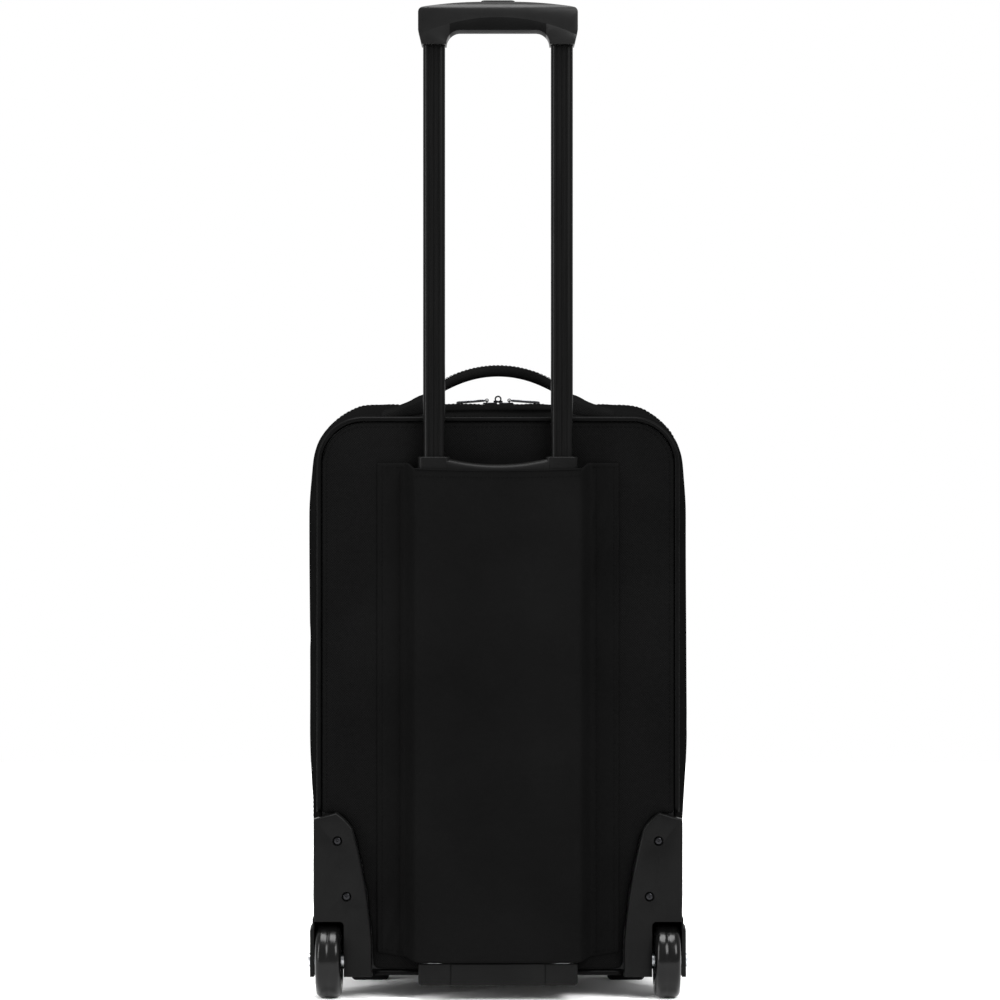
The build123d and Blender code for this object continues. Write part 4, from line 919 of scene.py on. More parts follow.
def cover_depth(x, z):
    """How far back the cover's outer face stands."""
    flat = Y_BACK + 1.4 * MM
    ends = ease(z, cover_low.z, cover_low.z + 45 * MM) * (1 - ease(z, cover_high.z - 50 * MM, cover_high.z))
    run = abs(x)
    rise = 1 - ease(run, fold_x - 1.5 * MM, slope_end + 3 * MM)
    sag = ends * 2.2 * MM * (1 - ease(run, 12 * MM, tube_low.x)) * (0.75 + 0.25 * math.sin(z * 9))
    hollow = ends * 2.0 * MM * math.exp(-((run - slope_end + 1 * MM) / (5 * MM)) ** 2) * rise
    y = flat + (cover_high.y - flat) * rise - sag * rise - hollow
    drape = noise.noise(Vector((x * 10, 1.7, z * 5)))
    y += ends * rise * 0.7 * MM * drape
    over_tube = math.exp(-((run - (tube_low.x + tube_high.x) / 2) / (11 * MM)) ** 2)
    y += ends * 0.3 * MM * over_tube
    margin = ease(run, slope_end - 1 * MM, slope_end + 6 * MM)
    pucker_area = ease(z, 0.28, 0.36) if x < 0 else 1 - ease(z, 0.05, 0.13)
    crease = noise.noise(Vector((x * 55, 5.2, z * 38 + x * 60)))
    fold = noise.noise(Vector((x * 30, 9.4, z * 16 - x * 40)))
    y += margin * (0.35 * MM + pucker_area * 2.0 * MM) * max(0.0, crease + 0.25 + 0.5 * fold)
    for inset in COVER_SEAMS:
        y -= 0.5 * MM * math.exp(-((run - cover_high.x + inset) / (0.9 * MM)) ** 2)
    gather = noise.noise(Vector((x * 8, 2.2, z * 110)))
    y += (1 - margin) * (1 - rise) * 0.7 * MM * abs(gather)
    return y


def cover_ways(side):
    """Places across the cover from its middle to one edge, closer together round the folds."""
    ways = []
    x = 0.0
    while x < cover_high.x - 0.5 * MM:
        ways.append(side * x)
        near_fold = fold_x - 6 * MM < x < slope_end + 6 * MM
        x += 1.5 * MM if near_fold else 2.6 * MM
    ways.append(side * cover_high.x)
    return ways


columns = list(reversed(cover_ways(-1)))[:-1] + cover_ways(1)
cover_rows = []
for r in range(171):
    share = r / 170
    row = []
    for x in columns:
        low, top = cover_edge(x, False), cover_edge(x, True)
        z = low + (top - low) * share
        row.append(Vector((x, cover_depth(x, z), z)))
    cover_rows.append(row)
cover = sheet_from_rows("tube_cover_cloth", cover_rows, False, lambda p: Vector((0, 1, 0)))
thicken(cover, 1.0 * MM)
flat_map(cover)
fit_out(cover, "case", cover_polyester, ["tube_cover"])


def on_cover(x, z, lift=0.15 * MM):
    """A place and outward direction on the cover's face."""
    step = 0.5 * MM
    dx = (cover_depth(x + step, z) - cover_depth(x - step, z)) / (2 * step)
    dz = (cover_depth(x, z + step) - cover_depth(x, z - step)) / (2 * step)
    out = Vector((-dx, 1, -dz)).normalized()
    return Vector((x, cover_depth(x, z), z)) + out * lift, out


cover_seams = []
for side in (-1, 1):
    for inset in COVER_SEAMS:
        x = side * (cover_high.x - inset)
        low, top = cover_edge(x, False) + 4 * MM, cover_edge(x, True) - 4 * MM
        cover_seams.append([on_cover(x, low + (top - low) * i / 160) for i in range(161)])
hem = []
for i in range(121):
    x = (fold_x - 1 * MM) * (2 * i / 120 - 1)
    hem.append(on_cover(x, cover_edge(x, True) - 7 * MM))
cover_seams.append(hem)
for side in (-1, 1):
    low_hem, top_hem = [], []
    for i in range(21):
        x = side * (slope_end + 4 * MM + (cover_high.x - COVER_SEAMS[0] - slope_end - 4 * MM) * i / 20)
        low_hem.append(on_cover(x, cover_edge(x, False) + 4 * MM))
        top_hem.append(on_cover(x, cover_edge(x, True) - 4 * MM))
    cover_seams += [low_hem, top_hem]
cover_stitches = row_on("tube_cover_stitches", cover_seams, stitch, 4.0 * MM, sewing_thread, 0.08, 11)
fit_out(cover_stitches, "case", None)
hem_cord = tube_along("tube_cover_hem", [
    on_cover(fold_x * (i / 40 - 1), cover_edge(fold_x * (i / 40 - 1), True) - 0.6 * MM, -0.2 * MM)[0]
    for i in range(81)
], 1.0 * MM, 8)
fit_out(hem_cord, "case", cover_polyester)


# ------------------------------------------------------------------- seams of the body
def wall_seam(y, inset, keep, wall):
    """A row of stitches on a side wall, laid on its real surface."""
    tree = BVHTree.FromObject(wall, bpy.context.evaluated_depsgraph_get())
    run = []
    for place, out in outline_run(y, inset, keep):
        hit, normal, _, _ = tree.ray_cast(place + out * 12 * MM, -out, 30 * MM)
        if hit is not None and normal.dot(out) > 0.3:
            run.append((hit + normal * 0.12 * MM, normal))
    return run


def clear_above(p):
    return p.z > housing_high.z + 6 * MM


def free_top(p):
    return p.z > ZIP_FLOOR + 3 * MM


seams = {
    "rear_wall_stitches": ("case", [
        wall_seam(Y_BACK - 8 * MM, 0, clear_above, rear_wall),
        wall_seam(Y_ZIP + TAPE_EDGE + 3.2 * MM, 0, free_top, rear_wall),
        wall_seam(Y_ZIP + TAPE_EDGE + 7.5 * MM, 0, free_top, rear_wall),
    ]),
    "lid_wall_stitches": ("lid", [
        wall_seam(Y_FRONT + 7 * MM, 0, lambda p: p.z > ZIP[1] + 40 * MM, lid_wall),
        wall_seam(Y_ZIP - TAPE_EDGE - 3.2 * MM, 0, free_top, lid_wall),
    ]),
}
for label, (body, runs) in seams.items():
    row = row_on(label, runs, stitch, 4.2 * MM, sewing_thread, 0.08, 17)
    fit_out(row, body, None)


def panel_seam(pad, face_y, outward, inset, keep):
    """A row of stitches just inside a panel's piping."""
    tree = BVHTree.FromObject(pad, bpy.context.evaluated_depsgraph_get())
    run = []
    for place, out in outline_run(face_y, -inset, keep):
        start = Vector((place.x, face_y + outward * 20 * MM, place.z))
        hit, normal, _, _ = tree.ray_cast(start, Vector((0, -outward, 0)), 40 * MM)
        if hit is not None:
            run.append((hit + normal * 0.12 * MM, normal))
    return run


panel_rows = {
    "back_panel_stitches": ("case", panel_seam(back_pad, Y_BACK, 1, 7 * MM, clear_above)),
    "front_panel_stitches": ("lid", panel_seam(front_pad, Y_FRONT, -1, 7 * MM,
                                               lambda p: p.z > FRONT[1] + 30 * MM)),
}
for label, (body, run) in panel_rows.items():
    row = row_on(label, [run], stitch, 4.2 * MM, sewing_thread, 0.08, 23)
    fit_out(row, body, None)

# ------------------------------------------------------------------------- front pocket zip
band_low, band_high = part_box("pocket_zip")


def pocket_outline(y, grow):
    """The zip band's outline with outward directions, at one depth."""
    return rounded_outline(y, band_high.x + grow, band_low.z - grow, band_high.z + grow,
                           POCKET_CORNER + grow, 10)


band_rows = [[p for p, _ in pocket_outline(band_high.y - (band_high.y - band_low.y) * r / 3, -0.4 * MM)]
             for r in range(4)]
pocket_band = thicken(sheet_from_rows("pocket_zip_tape", band_rows, True, outward_of_case), 2.6 * MM)
fit_out(pocket_band, "lid", zip_tape_twill, ["pocket_zip"])
pocket_chain = pocket_outline(band_low.y + 0.3 * MM, -0.3 * MM)
pocket_teeth = row_on("pocket_zip_coil", [pocket_chain], tooth, 2.6 * MM, nylon_coil, 0.02, 5, closed=True)
fit_out(pocket_teeth, "lid", None)

# ------------------------------------------------------------------------------ linings
def lining_tray(name, y_open, y_shut, inset, wall):
    """A lining sewn as a tray: walls that follow the case and a closed end, slightly slack."""
    rows = []
    for r in range(15):
        y = y_open + (y_shut - y_open) * r / 14
        row = []
        for place, out in ring(y, -inset, 9 * MM):
            slack = 0.5 + 0.5 * noise.noise(Vector((place.x * 22, y * 30, place.z * 22)))
            row.append(place - out * (slack * 0.6 * MM * math.sin(math.pi * r / 14)))
        rows.append(row)
    centre = Vector((0, y_shut, (ZIP[1] + ZIP[2]) / 2))
    for share in (0.96, 0.8, 0.6, 0.4, 0.2, 0.04):
        rows.append([centre + (p - centre) * share for p in rows[14]])
    inward = 1 if y_open > y_shut else -1
    tray = sheet_from_rows(name, rows, True, lambda p: Vector((-p.x, inward * 0.2, 0.29 - p.z)).normalized())
    bm = bmesh.new()
    bm.from_mesh(tray.data)
    bm.verts.ensure_lookup_table()
    bm.faces.new([bm.verts[i] for i in range(len(bm.verts) - len(rows[0]), len(bm.verts))])
    bm.to_mesh(tray.data)
    bm.free()
    thicken(tray, wall)
    return wrap_map(tray)


case_tray = lining_tray("case_lining_tray", Y_ZIP + 6 * MM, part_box("case_lining")[1].y - 0.4 * MM,
                        5.9 * MM, 0.7 * MM)
cut_away(case_tray, WHEEL_WELLS)
fit_out(case_tray, "case", taffeta_lining, ["case_lining"])
lid_tray = lining_tray("lid_lining_tray", Y_ZIP - 6 * MM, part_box("lid_lining")[0].y + 0.4 * MM,
                       3.2 * MM, 0.7 * MM)
fit_out(lid_tray, "lid", taffeta_lining, ["lid_lining"])

sleeve_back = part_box("laptop_sleeve")[1].y
sleeve = from_bmesh("laptop_sleeve_pad", merged_copy("laptop_sleeve"))
modify(sleeve, "REMESH", mode="VOXEL", voxel_size=3.4 * MM)
settle(sleeve)
blow_up(sleeve, lambda v: 1.0 if v.co.y > sleeve_back - 7 * MM else 0.0, 3.0, 1.4 * MM)
modify(sleeve, "SMOOTH", factor=0.5, iterations=2)
settle(sleeve)
flat_map(sleeve)
fit_out(sleeve, "case", taffeta_lining, ["laptop_sleeve"])

# -------------------------------------------------------------------------- carry handle
STRAP_Y = (anchor_low.y + anchor_high.y) / 2
STRAP_SPAN = 80 * MM
STRAP_FOOT = shape_at(STRAP_Y)[2] + 2.5 * MM
STRAP_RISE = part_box("carry_handle")[1].z - 5 * MM - STRAP_FOOT
bow_radius = (STRAP_SPAN ** 2 + STRAP_RISE ** 2) / (2 * STRAP_RISE)
bow_half = math.asin(STRAP_SPAN / bow_radius)
bow_centre = STRAP_FOOT + STRAP_RISE - bow_radius


def bow_place(share):
    """Place and outward direction on the handle's bow; share runs from -1 to 1."""
    a = bow_half * share
    out = Vector((math.sin(a), 0, math.cos(a)))
    return Vector((0, STRAP_Y, bow_centre)) + out * bow_radius, out


def rounded_square(count, power):
    """Points from -1 to 1 round a square whose corners are rounded; 1 is a circle, 0 a square."""
    turns = [2 * math.pi * k / count for k in range(count)]
    return [(math.copysign(abs(math.cos(a)) ** power, math.cos(a)),
             math.copysign(abs(math.sin(a)) ** power, math.sin(a))) for a in turns]


def strap_section(place, out, width, thick, power):
    """A flat rounded section across the handle, with its edges drawn in."""
    return [place + Vector((0, width / 2 * c, 0)) + out * (thick / 2 * s)
            for c, s in rounded_square(20, power)]


strap_sections = []
for i in range(61):
    share = (i / 30 - 1) * 0.9
    place, out = bow_place(share)
    fat = 1 - ease(abs(share), 0.62, 0.9)
    strap_sections.append(strap_section(place, out, (25 + 2 * fat) * MM, (5.6 + 3.6 * fat) * MM, 0.62))
strap = lofted("carry_handle_bow", strap_sections)
grip_wrap = []
for i in range(33):
    share = (i / 16 - 1) * 0.6
    place, out = bow_place(share)
    swell = 1 - 0.12 * abs(share / 0.6) ** 6
    grip_wrap.append(strap_section(place, out, 28 * MM * swell, 10.4 * MM * swell, 0.7))
wrap = lofted("carry_handle_wrap", grip_wrap)


def foot_section(side, x, low, top, width, power):
    """A section across the handle's foot, which follows the crown's slope and flares to its base."""
    points = []
    for c, s in rounded_square(24, power):
        y = STRAP_Y + width / 2 * c * (1.0 - 0.07 * (s + 1))
        rise = (top - low) / 2 * s
        lean = 0.35 * rise if x < 84 * MM else 0.0
        points.append(Vector((side * (x + lean), y, shape_at(y)[2] + (low + top) / 2 + rise)))
    return points


strap_ends = []
# Across the foot from the bow outward: place, underside and top over the crown, and width, in mm.
FOOT_PROFILE = (
    (64.0, 14.8, 20.8, 26.0), (67.0, 12.0, 20.0, 27.5), (69.5, 5.0, 19.0, 34.5), (72.0, -1.5, 18.0, 37.0),
    (78.0, -1.5, 15.2, 37.2), (84.0, -1.5, 12.8, 37.2), (90.0, -1.5, 10.4, 37.2), (97.0, -1.5, 7.6, 37.2),
    (104.0, -1.5, 5.6, 37.2), (109.0, -1.5, 4.2, 37.0), (112.0, -1.5, 1.2, 36.4),
)
for side in (-1, 1):
    sections = []
    for x, low, top, width in FOOT_PROFILE:
        power = 0.55 if x < 84 else 0.42
        sections.append(foot_section(side, x * MM, low * MM, top * MM, width * MM, power))
    strap_ends.append(subdivide(lofted("strap_foot", sections)))
handle = joined("carry_handle_strap", [strap, wrap, *strap_ends])
fit_out(handle, "case", nylon_webbing, ["carry_handle"])
handle_seams = []
for side in (-1, 1):
    run = []
    for i in range(49):
        share = (i / 24 - 1) * 0.56
        place, out = bow_place(share)
        run.append((place + out * 5.0 * MM + Vector((0, side * 9.5 * MM, 0)), out))
    handle_seams.append(run)
handle_stitches = row_on("carry_handle_stitches", handle_seams, stitch, 3.8 * MM, sewing_thread, 0.08, 29)
fit_out(handle_stitches, "case", None)

# ------------------------------------------------------------------ moulded hard pieces
for node, body, radius, finish, slot in (
    ("wheel_housing_left", "case", 0.7 * MM, textured_abs, "moulded_black"),
    ("wheel_housing_right", "case", 0.7 * MM, textured_abs, "moulded_black"),
    ("tube_bezel", "case", 0.8 * MM, textured_abs, "moulded_black"),
    ("tube_cup", "case", 0.8 * MM, textured_abs, "moulded_black"),
    ("carry_anchors", "case", 0.6 * MM, textured_abs, "moulded_black"),
    ("foot_left", "case", 0.7 * MM, moulded_rubber, "foot_rubber"),
    ("foot_right", "case", 0.7 * MM, moulded_rubber, "foot_rubber"),
    ("grip_upper", "trolley_handle", 0.35 * MM, grip_polypropylene, "grip_plastic"),
    ("grip_lower", "trolley_handle", 0.35 * MM, grip_polypropylene, "grip_plastic"),
    ("lock_button", "lock_button", 0, button_abs, "button_plastic"),
):
    fit_out(softened_edges(node + "_moulding", node, radius), body, finish, [node])

# The middle of the grip's underside is a softer insert, cut in between the two lobes; its darker colour is
# painted shade under the grip.
SHADED_INSERT_HALF = 45 * MM
under_grip = bpy.data.objects["grip_lower_moulding"]
bm = bmesh.new()
bm.from_mesh(under_grip.data)
for side in (-1, 1):
    bmesh.ops.bisect_plane(bm, geom=bm.verts[:] + bm.edges[:] + bm.faces[:], dist=1e-6,
                           plane_co=(side * SHADED_INSERT_HALF, 0, 0), plane_no=(1, 0, 0))
for face in bm.faces:
    face.material_index = 1 if abs(face.calc_center_median().x) < SHADED_INSERT_HALF else 0
bm.to_mesh(under_grip.data)
bm.free()
# The insert's darker rubber is painted shade under the grip.
under_grip.data.materials.append(insert_rubber_painted_shade)


# ------------------------------------------------------------------------ trolley tubes
def grooved_section(centre, width, depth, corner, z):
    """A rounded tube section with three shallow grooves down its front and back faces."""
    half_w, half_d = width / 2, depth / 2
    points = []

    def face(y_sign):
        stations = []
        for groove in (-4.4, 0.0, 4.4):
            for dx, dy in ((-0.75, 0), (-0.4, 0.38), (0.4, 0.38), (0.75, 0)):
                stations.append(((groove + dx) * MM, dy * MM))
        return [(x, y_sign * (half_d - dy)) for x, dy in stations]

    def turn(cx, cy, start):
        return [(cx + corner * math.cos(math.radians(start + 15 * k)),
                 cy + corner * math.sin(math.radians(start + 15 * k))) for k in range(7)]

    around = turn(half_w - corner, half_d - corner, 0)
    around += list(reversed(face(1)))
    around += turn(corner - half_w, half_d - corner, 90)
    around += turn(corner - half_w, corner - half_d, 180)
    around += face(-1)
    around += turn(half_w - corner, corner - half_d, 270)
    for x, y in around:
        points.append(Vector((centre.x + x, centre.y + y, z)))
    return points


for side in ("left", "right"):
    low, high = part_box("inner_tube_" + side)
    centre = (low + high) / 2
    heights = [low.z, low.z + 1 * MM]
    heights += [low.z + 1 * MM + (high.z - low.z - 2 * MM) * i / 12 for i in range(1, 13)]
    heights.append(high.z)
    outside = [grooved_section(centre, high.x - low.x, high.y - low.y, 5 * MM, z) for z in heights]
    inside = [grooved_section(centre, high.x - low.x - 2.4 * MM, high.y - low.y - 2.4 * MM, 3.8 * MM, z)
              for z in reversed(heights)]
    tube = welded(lofted("drawn_tube_" + side, outside + inside + [outside[0]], capped=False))
    crisp(tube, 38)
    fit_out(tube, "trolley_handle", coated_aluminium, ["inner_tube_" + side])


# ------------------------------------------------------------------------------- wheels
def wheel_parts(side):
    low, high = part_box("wheel_tyre_" + side)
    centre = (low + high) / 2
    half, rim, radius = (high.x - low.x) / 2, 23 * MM, (high.z - low.z) / 2
    profile = [(-half, rim), (-half, radius - 6.5 * MM)]
    for k in range(1, 8):
        a = math.radians(180 - 90 * k / 8)
        profile.append((-half + 6 * MM + 6 * MM * math.cos(a), radius - 6 * MM + 6 * MM * math.sin(a)))
    flat = half - 6 * MM
    for x, lift in ((-flat, 0), (-flat + 3 * MM, 0), (-0.8 * MM, 0), (-0.35 * MM, -0.3 * MM),
                    (0.35 * MM, -0.3 * MM), (0.8 * MM, 0), (flat - 3 * MM, 0), (flat, 0)):
        profile.append((x, radius + lift))
    for k in range(1, 8):
        a = math.radians(90 - 90 * k / 8)
        profile.append((half - 6 * MM + 6 * MM * math.cos(a), radius - 6 * MM + 6 * MM * math.sin(a)))
    profile += [(half, radius - 6.5 * MM), (half, rim)]
    tyre = crisp(turned("tread_" + side, profile, centre), 50)
    fit_out(tyre, "wheel_" + side, cast_polyurethane, ["wheel_tyre_" + side])

    hub_low, hub_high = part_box("wheel_hub_" + side)
    hub_half = (hub_high.x - hub_low.x) / 2
    web = [(-hub_half + inset * MM, r * MM) for inset, r in (
        (0, 22.95), (0, 20.2), (1, 19.2), (6.5, 18.6), (6.5, 14.6), (1, 13.8), (0, 13.2), (0, 11.05),
        (7, 11.05), (7, 5.5))]
    around = web + [(-x, r) for x, r in reversed(web)]
    hub = crisp(turned("hub_" + side, around, centre, 72), 35)
    ribs = []
    for k in range(8):
        a = 2 * math.pi * k / 8
        spoke = Vector((0, math.cos(a), math.sin(a)))
        across = Vector((0, -math.sin(a), math.cos(a))) * 1.1 * MM
        sections = []
        for r in (13.4 * MM, 16.4 * MM, 19.6 * MM):
            base = centre + spoke * r
            reach = hub_half - 1.6 * MM
            sections.append([base + Vector((-reach, 0, 0)) - across, base + Vector((reach, 0, 0)) - across,
                             base + Vector((reach, 0, 0)) + across, base + Vector((-reach, 0, 0)) + across])
        ribs.append(lofted("rib", sections))
    hub = crisp(joined("ribbed_hub_" + side, [hub, *ribs]), 35)
    fit_out(hub, "wheel_" + side, glass_filled_nylon, ["wheel_hub_" + side])

    races = []
    for sign in (-1, 1):
        outer_x, inner_x = sign * hub_half, sign * (hub_half - 7 * MM)
        face, dip = outer_x - sign * 0.1 * MM, outer_x - sign * 0.6 * MM
        ring_profile = [(inner_x, 10.95 * MM), (face, 10.95 * MM), (face, 9.4 * MM), (dip, 9.2 * MM),
                        (dip, 6.4 * MM), (face, 6.2 * MM), (face, 4.1 * MM), (inner_x, 4.1 * MM)]
        races.append(turned("race", ring_profile, centre, 64))
    bearing = crisp(joined("ball_bearings_" + side, races), 35)
    fit_out(bearing, "wheel_" + side, bearing_steel, ["wheel_bearings_" + side])


for side in ("left", "right"):
    wheel_parts(side)


# -------------------------------------------------------------------------------- screws
SCREW_HEAD = 2.15 * MM


def screw_item(length):
    """A screw with a cross recess, standing along Z with its head's seat at zero."""
    bm = bmesh.new()
    steps, head = 20, 3.75 * MM
    rings = []
    for r, z in ((0.15, -length), (0.45, 1.4 * MM - length), (0.5, 2.2 * MM - length), (0.5, -0.05 * MM),
                 (0.99, 0.0), (1.0, 0.9 * MM), (0.93, 1.5 * MM), (0.74, 1.95 * MM), (0.5, SCREW_HEAD)):
        rings.append([bm.verts.new((head * r * math.cos(2 * math.pi * k / steps),
                                    head * r * math.sin(2 * math.pi * k / steps), z))
                      for k in range(steps)])
    cross = []
    for k in range(steps):
        a = 2 * math.pi * k / steps
        reach = (0.55 + 0.75 * abs(math.cos(2 * a)) ** 3) * MM
        cross.append(bm.verts.new((reach * math.cos(a), reach * math.sin(a), SCREW_HEAD)))
    floor_ring = [bm.verts.new((v.co.x * 0.6, v.co.y * 0.6, 0.9 * MM)) for v in cross]
    rings += [cross, floor_ring]
    for a, b in zip(rings, rings[1:]):
        for k in range(steps):
            n = (k + 1) % steps
            bm.faces.new((a[k], a[n], b[n], b[k]))
    bm.faces.new(floor_ring)
    bm.faces.new(list(reversed(rings[0])))
    bmesh.ops.recalc_face_normals(bm, faces=bm.faces[:])
    return crisp(from_bmesh("screw", bm), 35)


def spots_tree():
    """A tree that sets one piece on each point, upright along the point's outward direction."""
    tree, given = new_tree("set_on_spots", {"Spots": "Geometry", "Item": "Object", "Size": "Float",
                                            "Seed": "Int", "Finish": "Material"})
    item = add_node(tree, "GeometryNodeObjectInfo", {"Object": given["Item"]})
    outward = add_node(tree, "GeometryNodeInputNamedAttribute", {"Name": "outward"}, data_type="FLOAT_VECTOR")
    stand = add_node(tree, "FunctionNodeAlignRotationToVector", {"Vector": outward.outputs["Attribute"]},
                     axis="Z")
    turn = add_node(tree, "FunctionNodeRandomValue", {"Seed": given["Seed"]}, data_type="FLOAT")
    turn.inputs[2].default_value = 0.0
    turn.inputs[3].default_value = math.pi / 2
    spin = add_node(tree, "ShaderNodeCombineXYZ", {"Z": turn.outputs[1]})
    angled = add_node(tree, "FunctionNodeRotateRotation", {"Rotation": stand.outputs["Rotation"]},
                      rotation_space="LOCAL")
    tree.links.new(spin.outputs[0], angled.inputs["Rotate By"])
    placed = add_node(tree, "GeometryNodeInstanceOnPoints", {
        "Points": given["Spots"], "Instance": item.outputs["Geometry"],
        "Rotation": angled.outputs["Rotation"], "Scale": given["Size"]})
    return end_tree(tree, placed.outputs["Instances"], given["Finish"])


on_spots = spots_tree()


def islands(node):
    """Lowest and highest corner of each separate solid in a node."""
    bm = merged_copy(node)
    left, boxes = set(bm.verts), []
    while left:
        stack, seen = [left.pop()], []
        while stack:
            vertex = stack.pop()
            seen.append(vertex.co.copy())
            for edge in vertex.link_edges:
                other = edge.other_vert(vertex)
                if other in left:
                    left.discard(other)
                    stack.append(other)
        boxes.append((Vector([min(c[i] for c in seen) for i in range(3)]),
                      Vector([max(c[i] for c in seen) for i in range(3)])))
    bm.free()
    return boxes


for node, seed in (("housing_screws", 5), ("tube_screws", 6), ("foot_screws", 7)):
    sets = {}
    for low, high in islands(node):
        middle, size = (low + high) / 2, high - low
        if size.y > size.z:
            spot = (Vector((middle.x, high.y - SCREW_HEAD, middle.z)), Vector((0, 1, 0)))
        else:
            spot = (Vector((middle.x, middle.y, low.z + SCREW_HEAD)), Vector((0, 0, -1)))
        sets.setdefault(round(max(size) * 1e4), []).append(spot)
    made = []
    for length, spots in sets.items():
        item = screw_item(length / 1e4 - SCREW_HEAD)
        spent_items.append(item)
        made.append(grown("screw_set", [spots], on_spots, {
            "Item": item, "Size": 1.0, "Seed": seed, "Finish": blackened_steel}, linked=False))
    fit_out(crisp(joined(node + "_turned", made), 35), "case", blackened_steel, [node])


# ---------------------------------------------------------------------- sliders and pulls
def plate(outline_points, thick, place):
    """A cast plate from a plan outline; place() turns the plate's own X, Y, Z into the case's."""
    bevel = min(0.4 * MM, thick * 0.3)
    middle = sum((Vector(p) for p in outline_points), Vector((0, 0))) / len(outline_points)
    sections = []
    flat = thick / 2 - bevel
    for z, shrink in ((-thick / 2, 0.9), (-flat, 1.0), (flat, 1.0), (thick / 2, 0.9)):
        sections.append([place(middle.x + (x - middle.x) * shrink, middle.y + (y - middle.y) * shrink, z)
                         for x, y in outline_points])
    return lofted("plate", sections)


def round_eye(place, x, z, inner, outer, near, far):
    """A round eye with softened rims, turned about local Y, from near to far along it."""
    soft = 0.3 * MM
    profile = [(inner, near + soft), (inner, far - soft), (inner + soft, far), (outer - soft, far),
               (outer, far - soft), (outer, near + soft), (outer - soft, near), (inner + soft, near)]
    sections = []
    for k in range(33):
        a = 2 * math.pi * k / 32
        sections.append([place(x + r * math.cos(a), y, z + r * math.sin(a)) for r, y in profile])
    return welded(lofted("eye", sections, capped=False))


def slider_set(tag, origin, along, across, out, width, chain, locking):
    """A zip slider over its chain, and the pull that hangs on its bail."""
    def local(x, y, z):
        return origin + along * x + across * y + out * z

    def at(x, z):
        return lambda u, v, w: local(u + x, v, w + z)

    half, wide = 7 * MM, width / 2
    edge = [(-half, wide * 0.55), (-half * 0.5, wide * 0.78), (half * 0.1, wide * 0.86), (half * 0.7, wide),
            (half, wide * 0.8)]
    body_plan = [(x, -y) for x, y in edge] + list(reversed(edge))
    post_plan = [(-2.5 * MM, -0.3 * MM), (2.5 * MM, -0.35 * MM), (2.5 * MM, 0.35 * MM), (-2.5 * MM, 0.3 * MM)]
    bail_x, bail_z = 3 * MM, 4.3 * MM
    leg = [(2.5, 1.9), (2.5, 3.5), (2.3, 4.1), (1.7, 4.3)]
    bail = [local(bail_x, y * MM, z * MM) for y, z in [(-y, z) for y, z in leg] + list(reversed(leg))]
    parts = [plate(body_plan, 1.6 * MM, at(0, 1.3 * MM)),
             plate(body_plan, 1.6 * MM, at(0, -chain - 1.3 * MM)),
             plate(post_plan, chain + 2 * MM, at(0, -chain / 2)),
             tube_along("bail", bail, 0.65 * MM, 10, up=[along] * len(bail))]
    if locking:
        arm = [(-8 * MM, 0.2 * MM), (-3.5 * MM, 0.2 * MM), (-3.5 * MM, 1.8 * MM), (-8 * MM, 1.8 * MM)]
        parts += [round_eye(local, -8 * MM, 5.5 * MM, 2 * MM, 3.5 * MM, 0.12 * MM, 1.88 * MM),
                  plate(arm, 2.2 * MM, at(0, 3 * MM))]
    slider = crisp(joined("zip_slider_cast_" + tag, parts), 30)

    tip, tab_half = 30 * MM, width * 0.36
    flank = [(1.5 * MM, 1.3 * MM), (4 * MM, 1.6 * MM), (8 * MM, tab_half * 0.85), (13 * MM, tab_half),
             (tip - 4 * MM, tab_half), (tip - 1.2 * MM, tab_half * 0.82), (tip, tab_half * 0.4)]
    tab = [(x, -y) for x, y in flank] + list(reversed(flank))
    droop = 0.075 if locking else 0.0

    def leaning(x, y, z):
        return local(x + bail_x, y, z + bail_z - droop * x)

    pull = crisp(joined("zip_pull_tab_" + tag, [
        plate(tab, 2.4 * MM, leaning),
        round_eye(local, bail_x, bail_z, 1.1 * MM, 1.9 * MM, -1.6 * MM, 1.6 * MM),
    ]), 30)
    return slider, pull


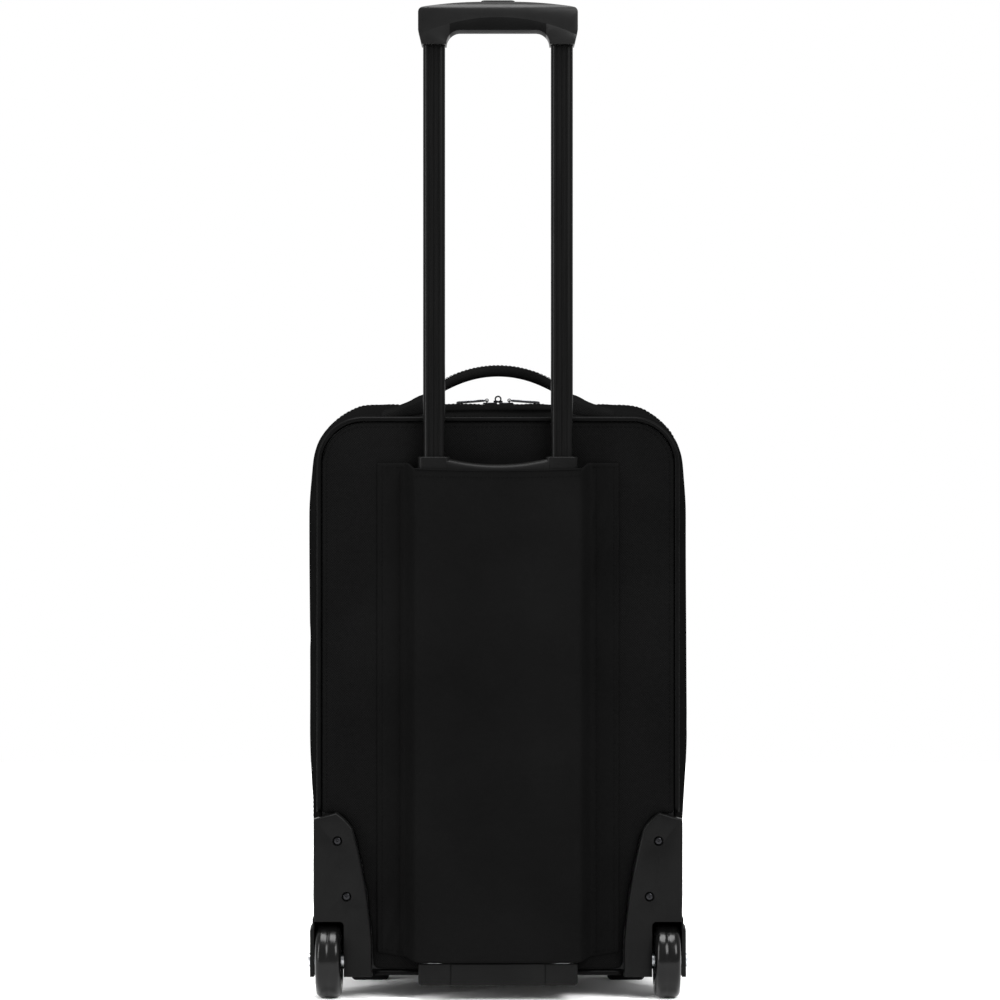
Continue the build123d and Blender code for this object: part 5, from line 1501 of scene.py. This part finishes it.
for side, sign in (("left", 1), ("right", -1)):
    origin = Vector((sign * 8 * MM, Y_ZIP, ZIP[2]))
    slider, pull = slider_set("top_" + side, origin, Vector((sign, 0, 0)), Vector((0, sign, 0)),
                              Vector((0, 0, 1)), 9.4 * MM, 2.6 * MM, True)
    fit_out(slider, "zip_slider_" + side, gunmetal_zinc, ["zip_slider_" + side])
    fit_out(pull, "zip_pull_" + side, nickel_plated_zinc, ["zip_pull_" + side])
tab_low, tab_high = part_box("pocket_slider")
pocket_out = tab_high.x - 5.1 * MM
origin = Vector((pocket_out, (tab_low.y + tab_high.y) / 2, (tab_low.z + tab_high.z) / 2))
slider, pull = slider_set("pocket", origin, Vector((0, 0, -1)), Vector((0, 1, 0)), Vector((1, 0, 0)),
                          6 * MM, pocket_out - tab_low.x - 2.1 * MM, False)
fit_out(slider, "pocket_slider", gunmetal_zinc, ["pocket_slider"])
fit_out(pull, "pocket_pull", nickel_plated_zinc, ["pocket_pull"])


# ------------------------------------------------------------------- camera, floor and light
scene = bpy.context.scene
scene.view_settings.view_transform = "Standard"
camera = bpy.data.objects.new("camera", bpy.data.cameras.new("camera"))
scene.collection.objects.link(camera)
camera.location = (-0.0019, Y_BACK + 3.0, 0.4686)
camera.rotation_euler = (math.radians(90), 0, math.radians(180))
camera.data.lens = 114.8
camera.data.sensor_width = 36
scene.camera = camera

world = bpy.data.worlds.new("studio")
world.use_nodes = True
world.node_tree.nodes["Background"].inputs["Color"].default_value = (1, 1, 1, 1)
world.node_tree.nodes["Background"].inputs["Strength"].default_value = 1.0
scene.world = world

bm = bmesh.new()
bmesh.ops.create_grid(bm, x_segments=8, y_segments=8, size=2.6)
floor = from_bmesh("studio_floor", bm)
matt_paper = moulded("matt_paper", 2 * MM, "#f4f4f4", "#f8f8f8", 0.9, 0.1, 0.05)
dress(floor, matt_paper)

for label, place, aim, size, power in (
    ("key", (-1.7, 2.4, 2.3), (0, 0, 0.35), (1.6, 1.6), 160),
    ("overhead", (0.2, 0.5, 2.7), (0, 0.05, 0.4), (1.6, 1.2), 140),
    ("side", (2.1, 1.2, 1.1), (0, 0.05, 0.35), (0.5, 1.8), 60),
):
    lamp = bpy.data.lights.new(label, "AREA")
    lamp.shape, lamp.size, lamp.size_y, lamp.energy = "RECTANGLE", size[0], size[1], power
    light = bpy.data.objects.new(label, lamp)
    scene.collection.objects.link(light)
    light.location = place
    light.rotation_euler = (Vector(aim) - Vector(place)).to_track_quat("-Z", "Y").to_euler()

for item in spent_items:
    bpy.data.objects.remove(item)
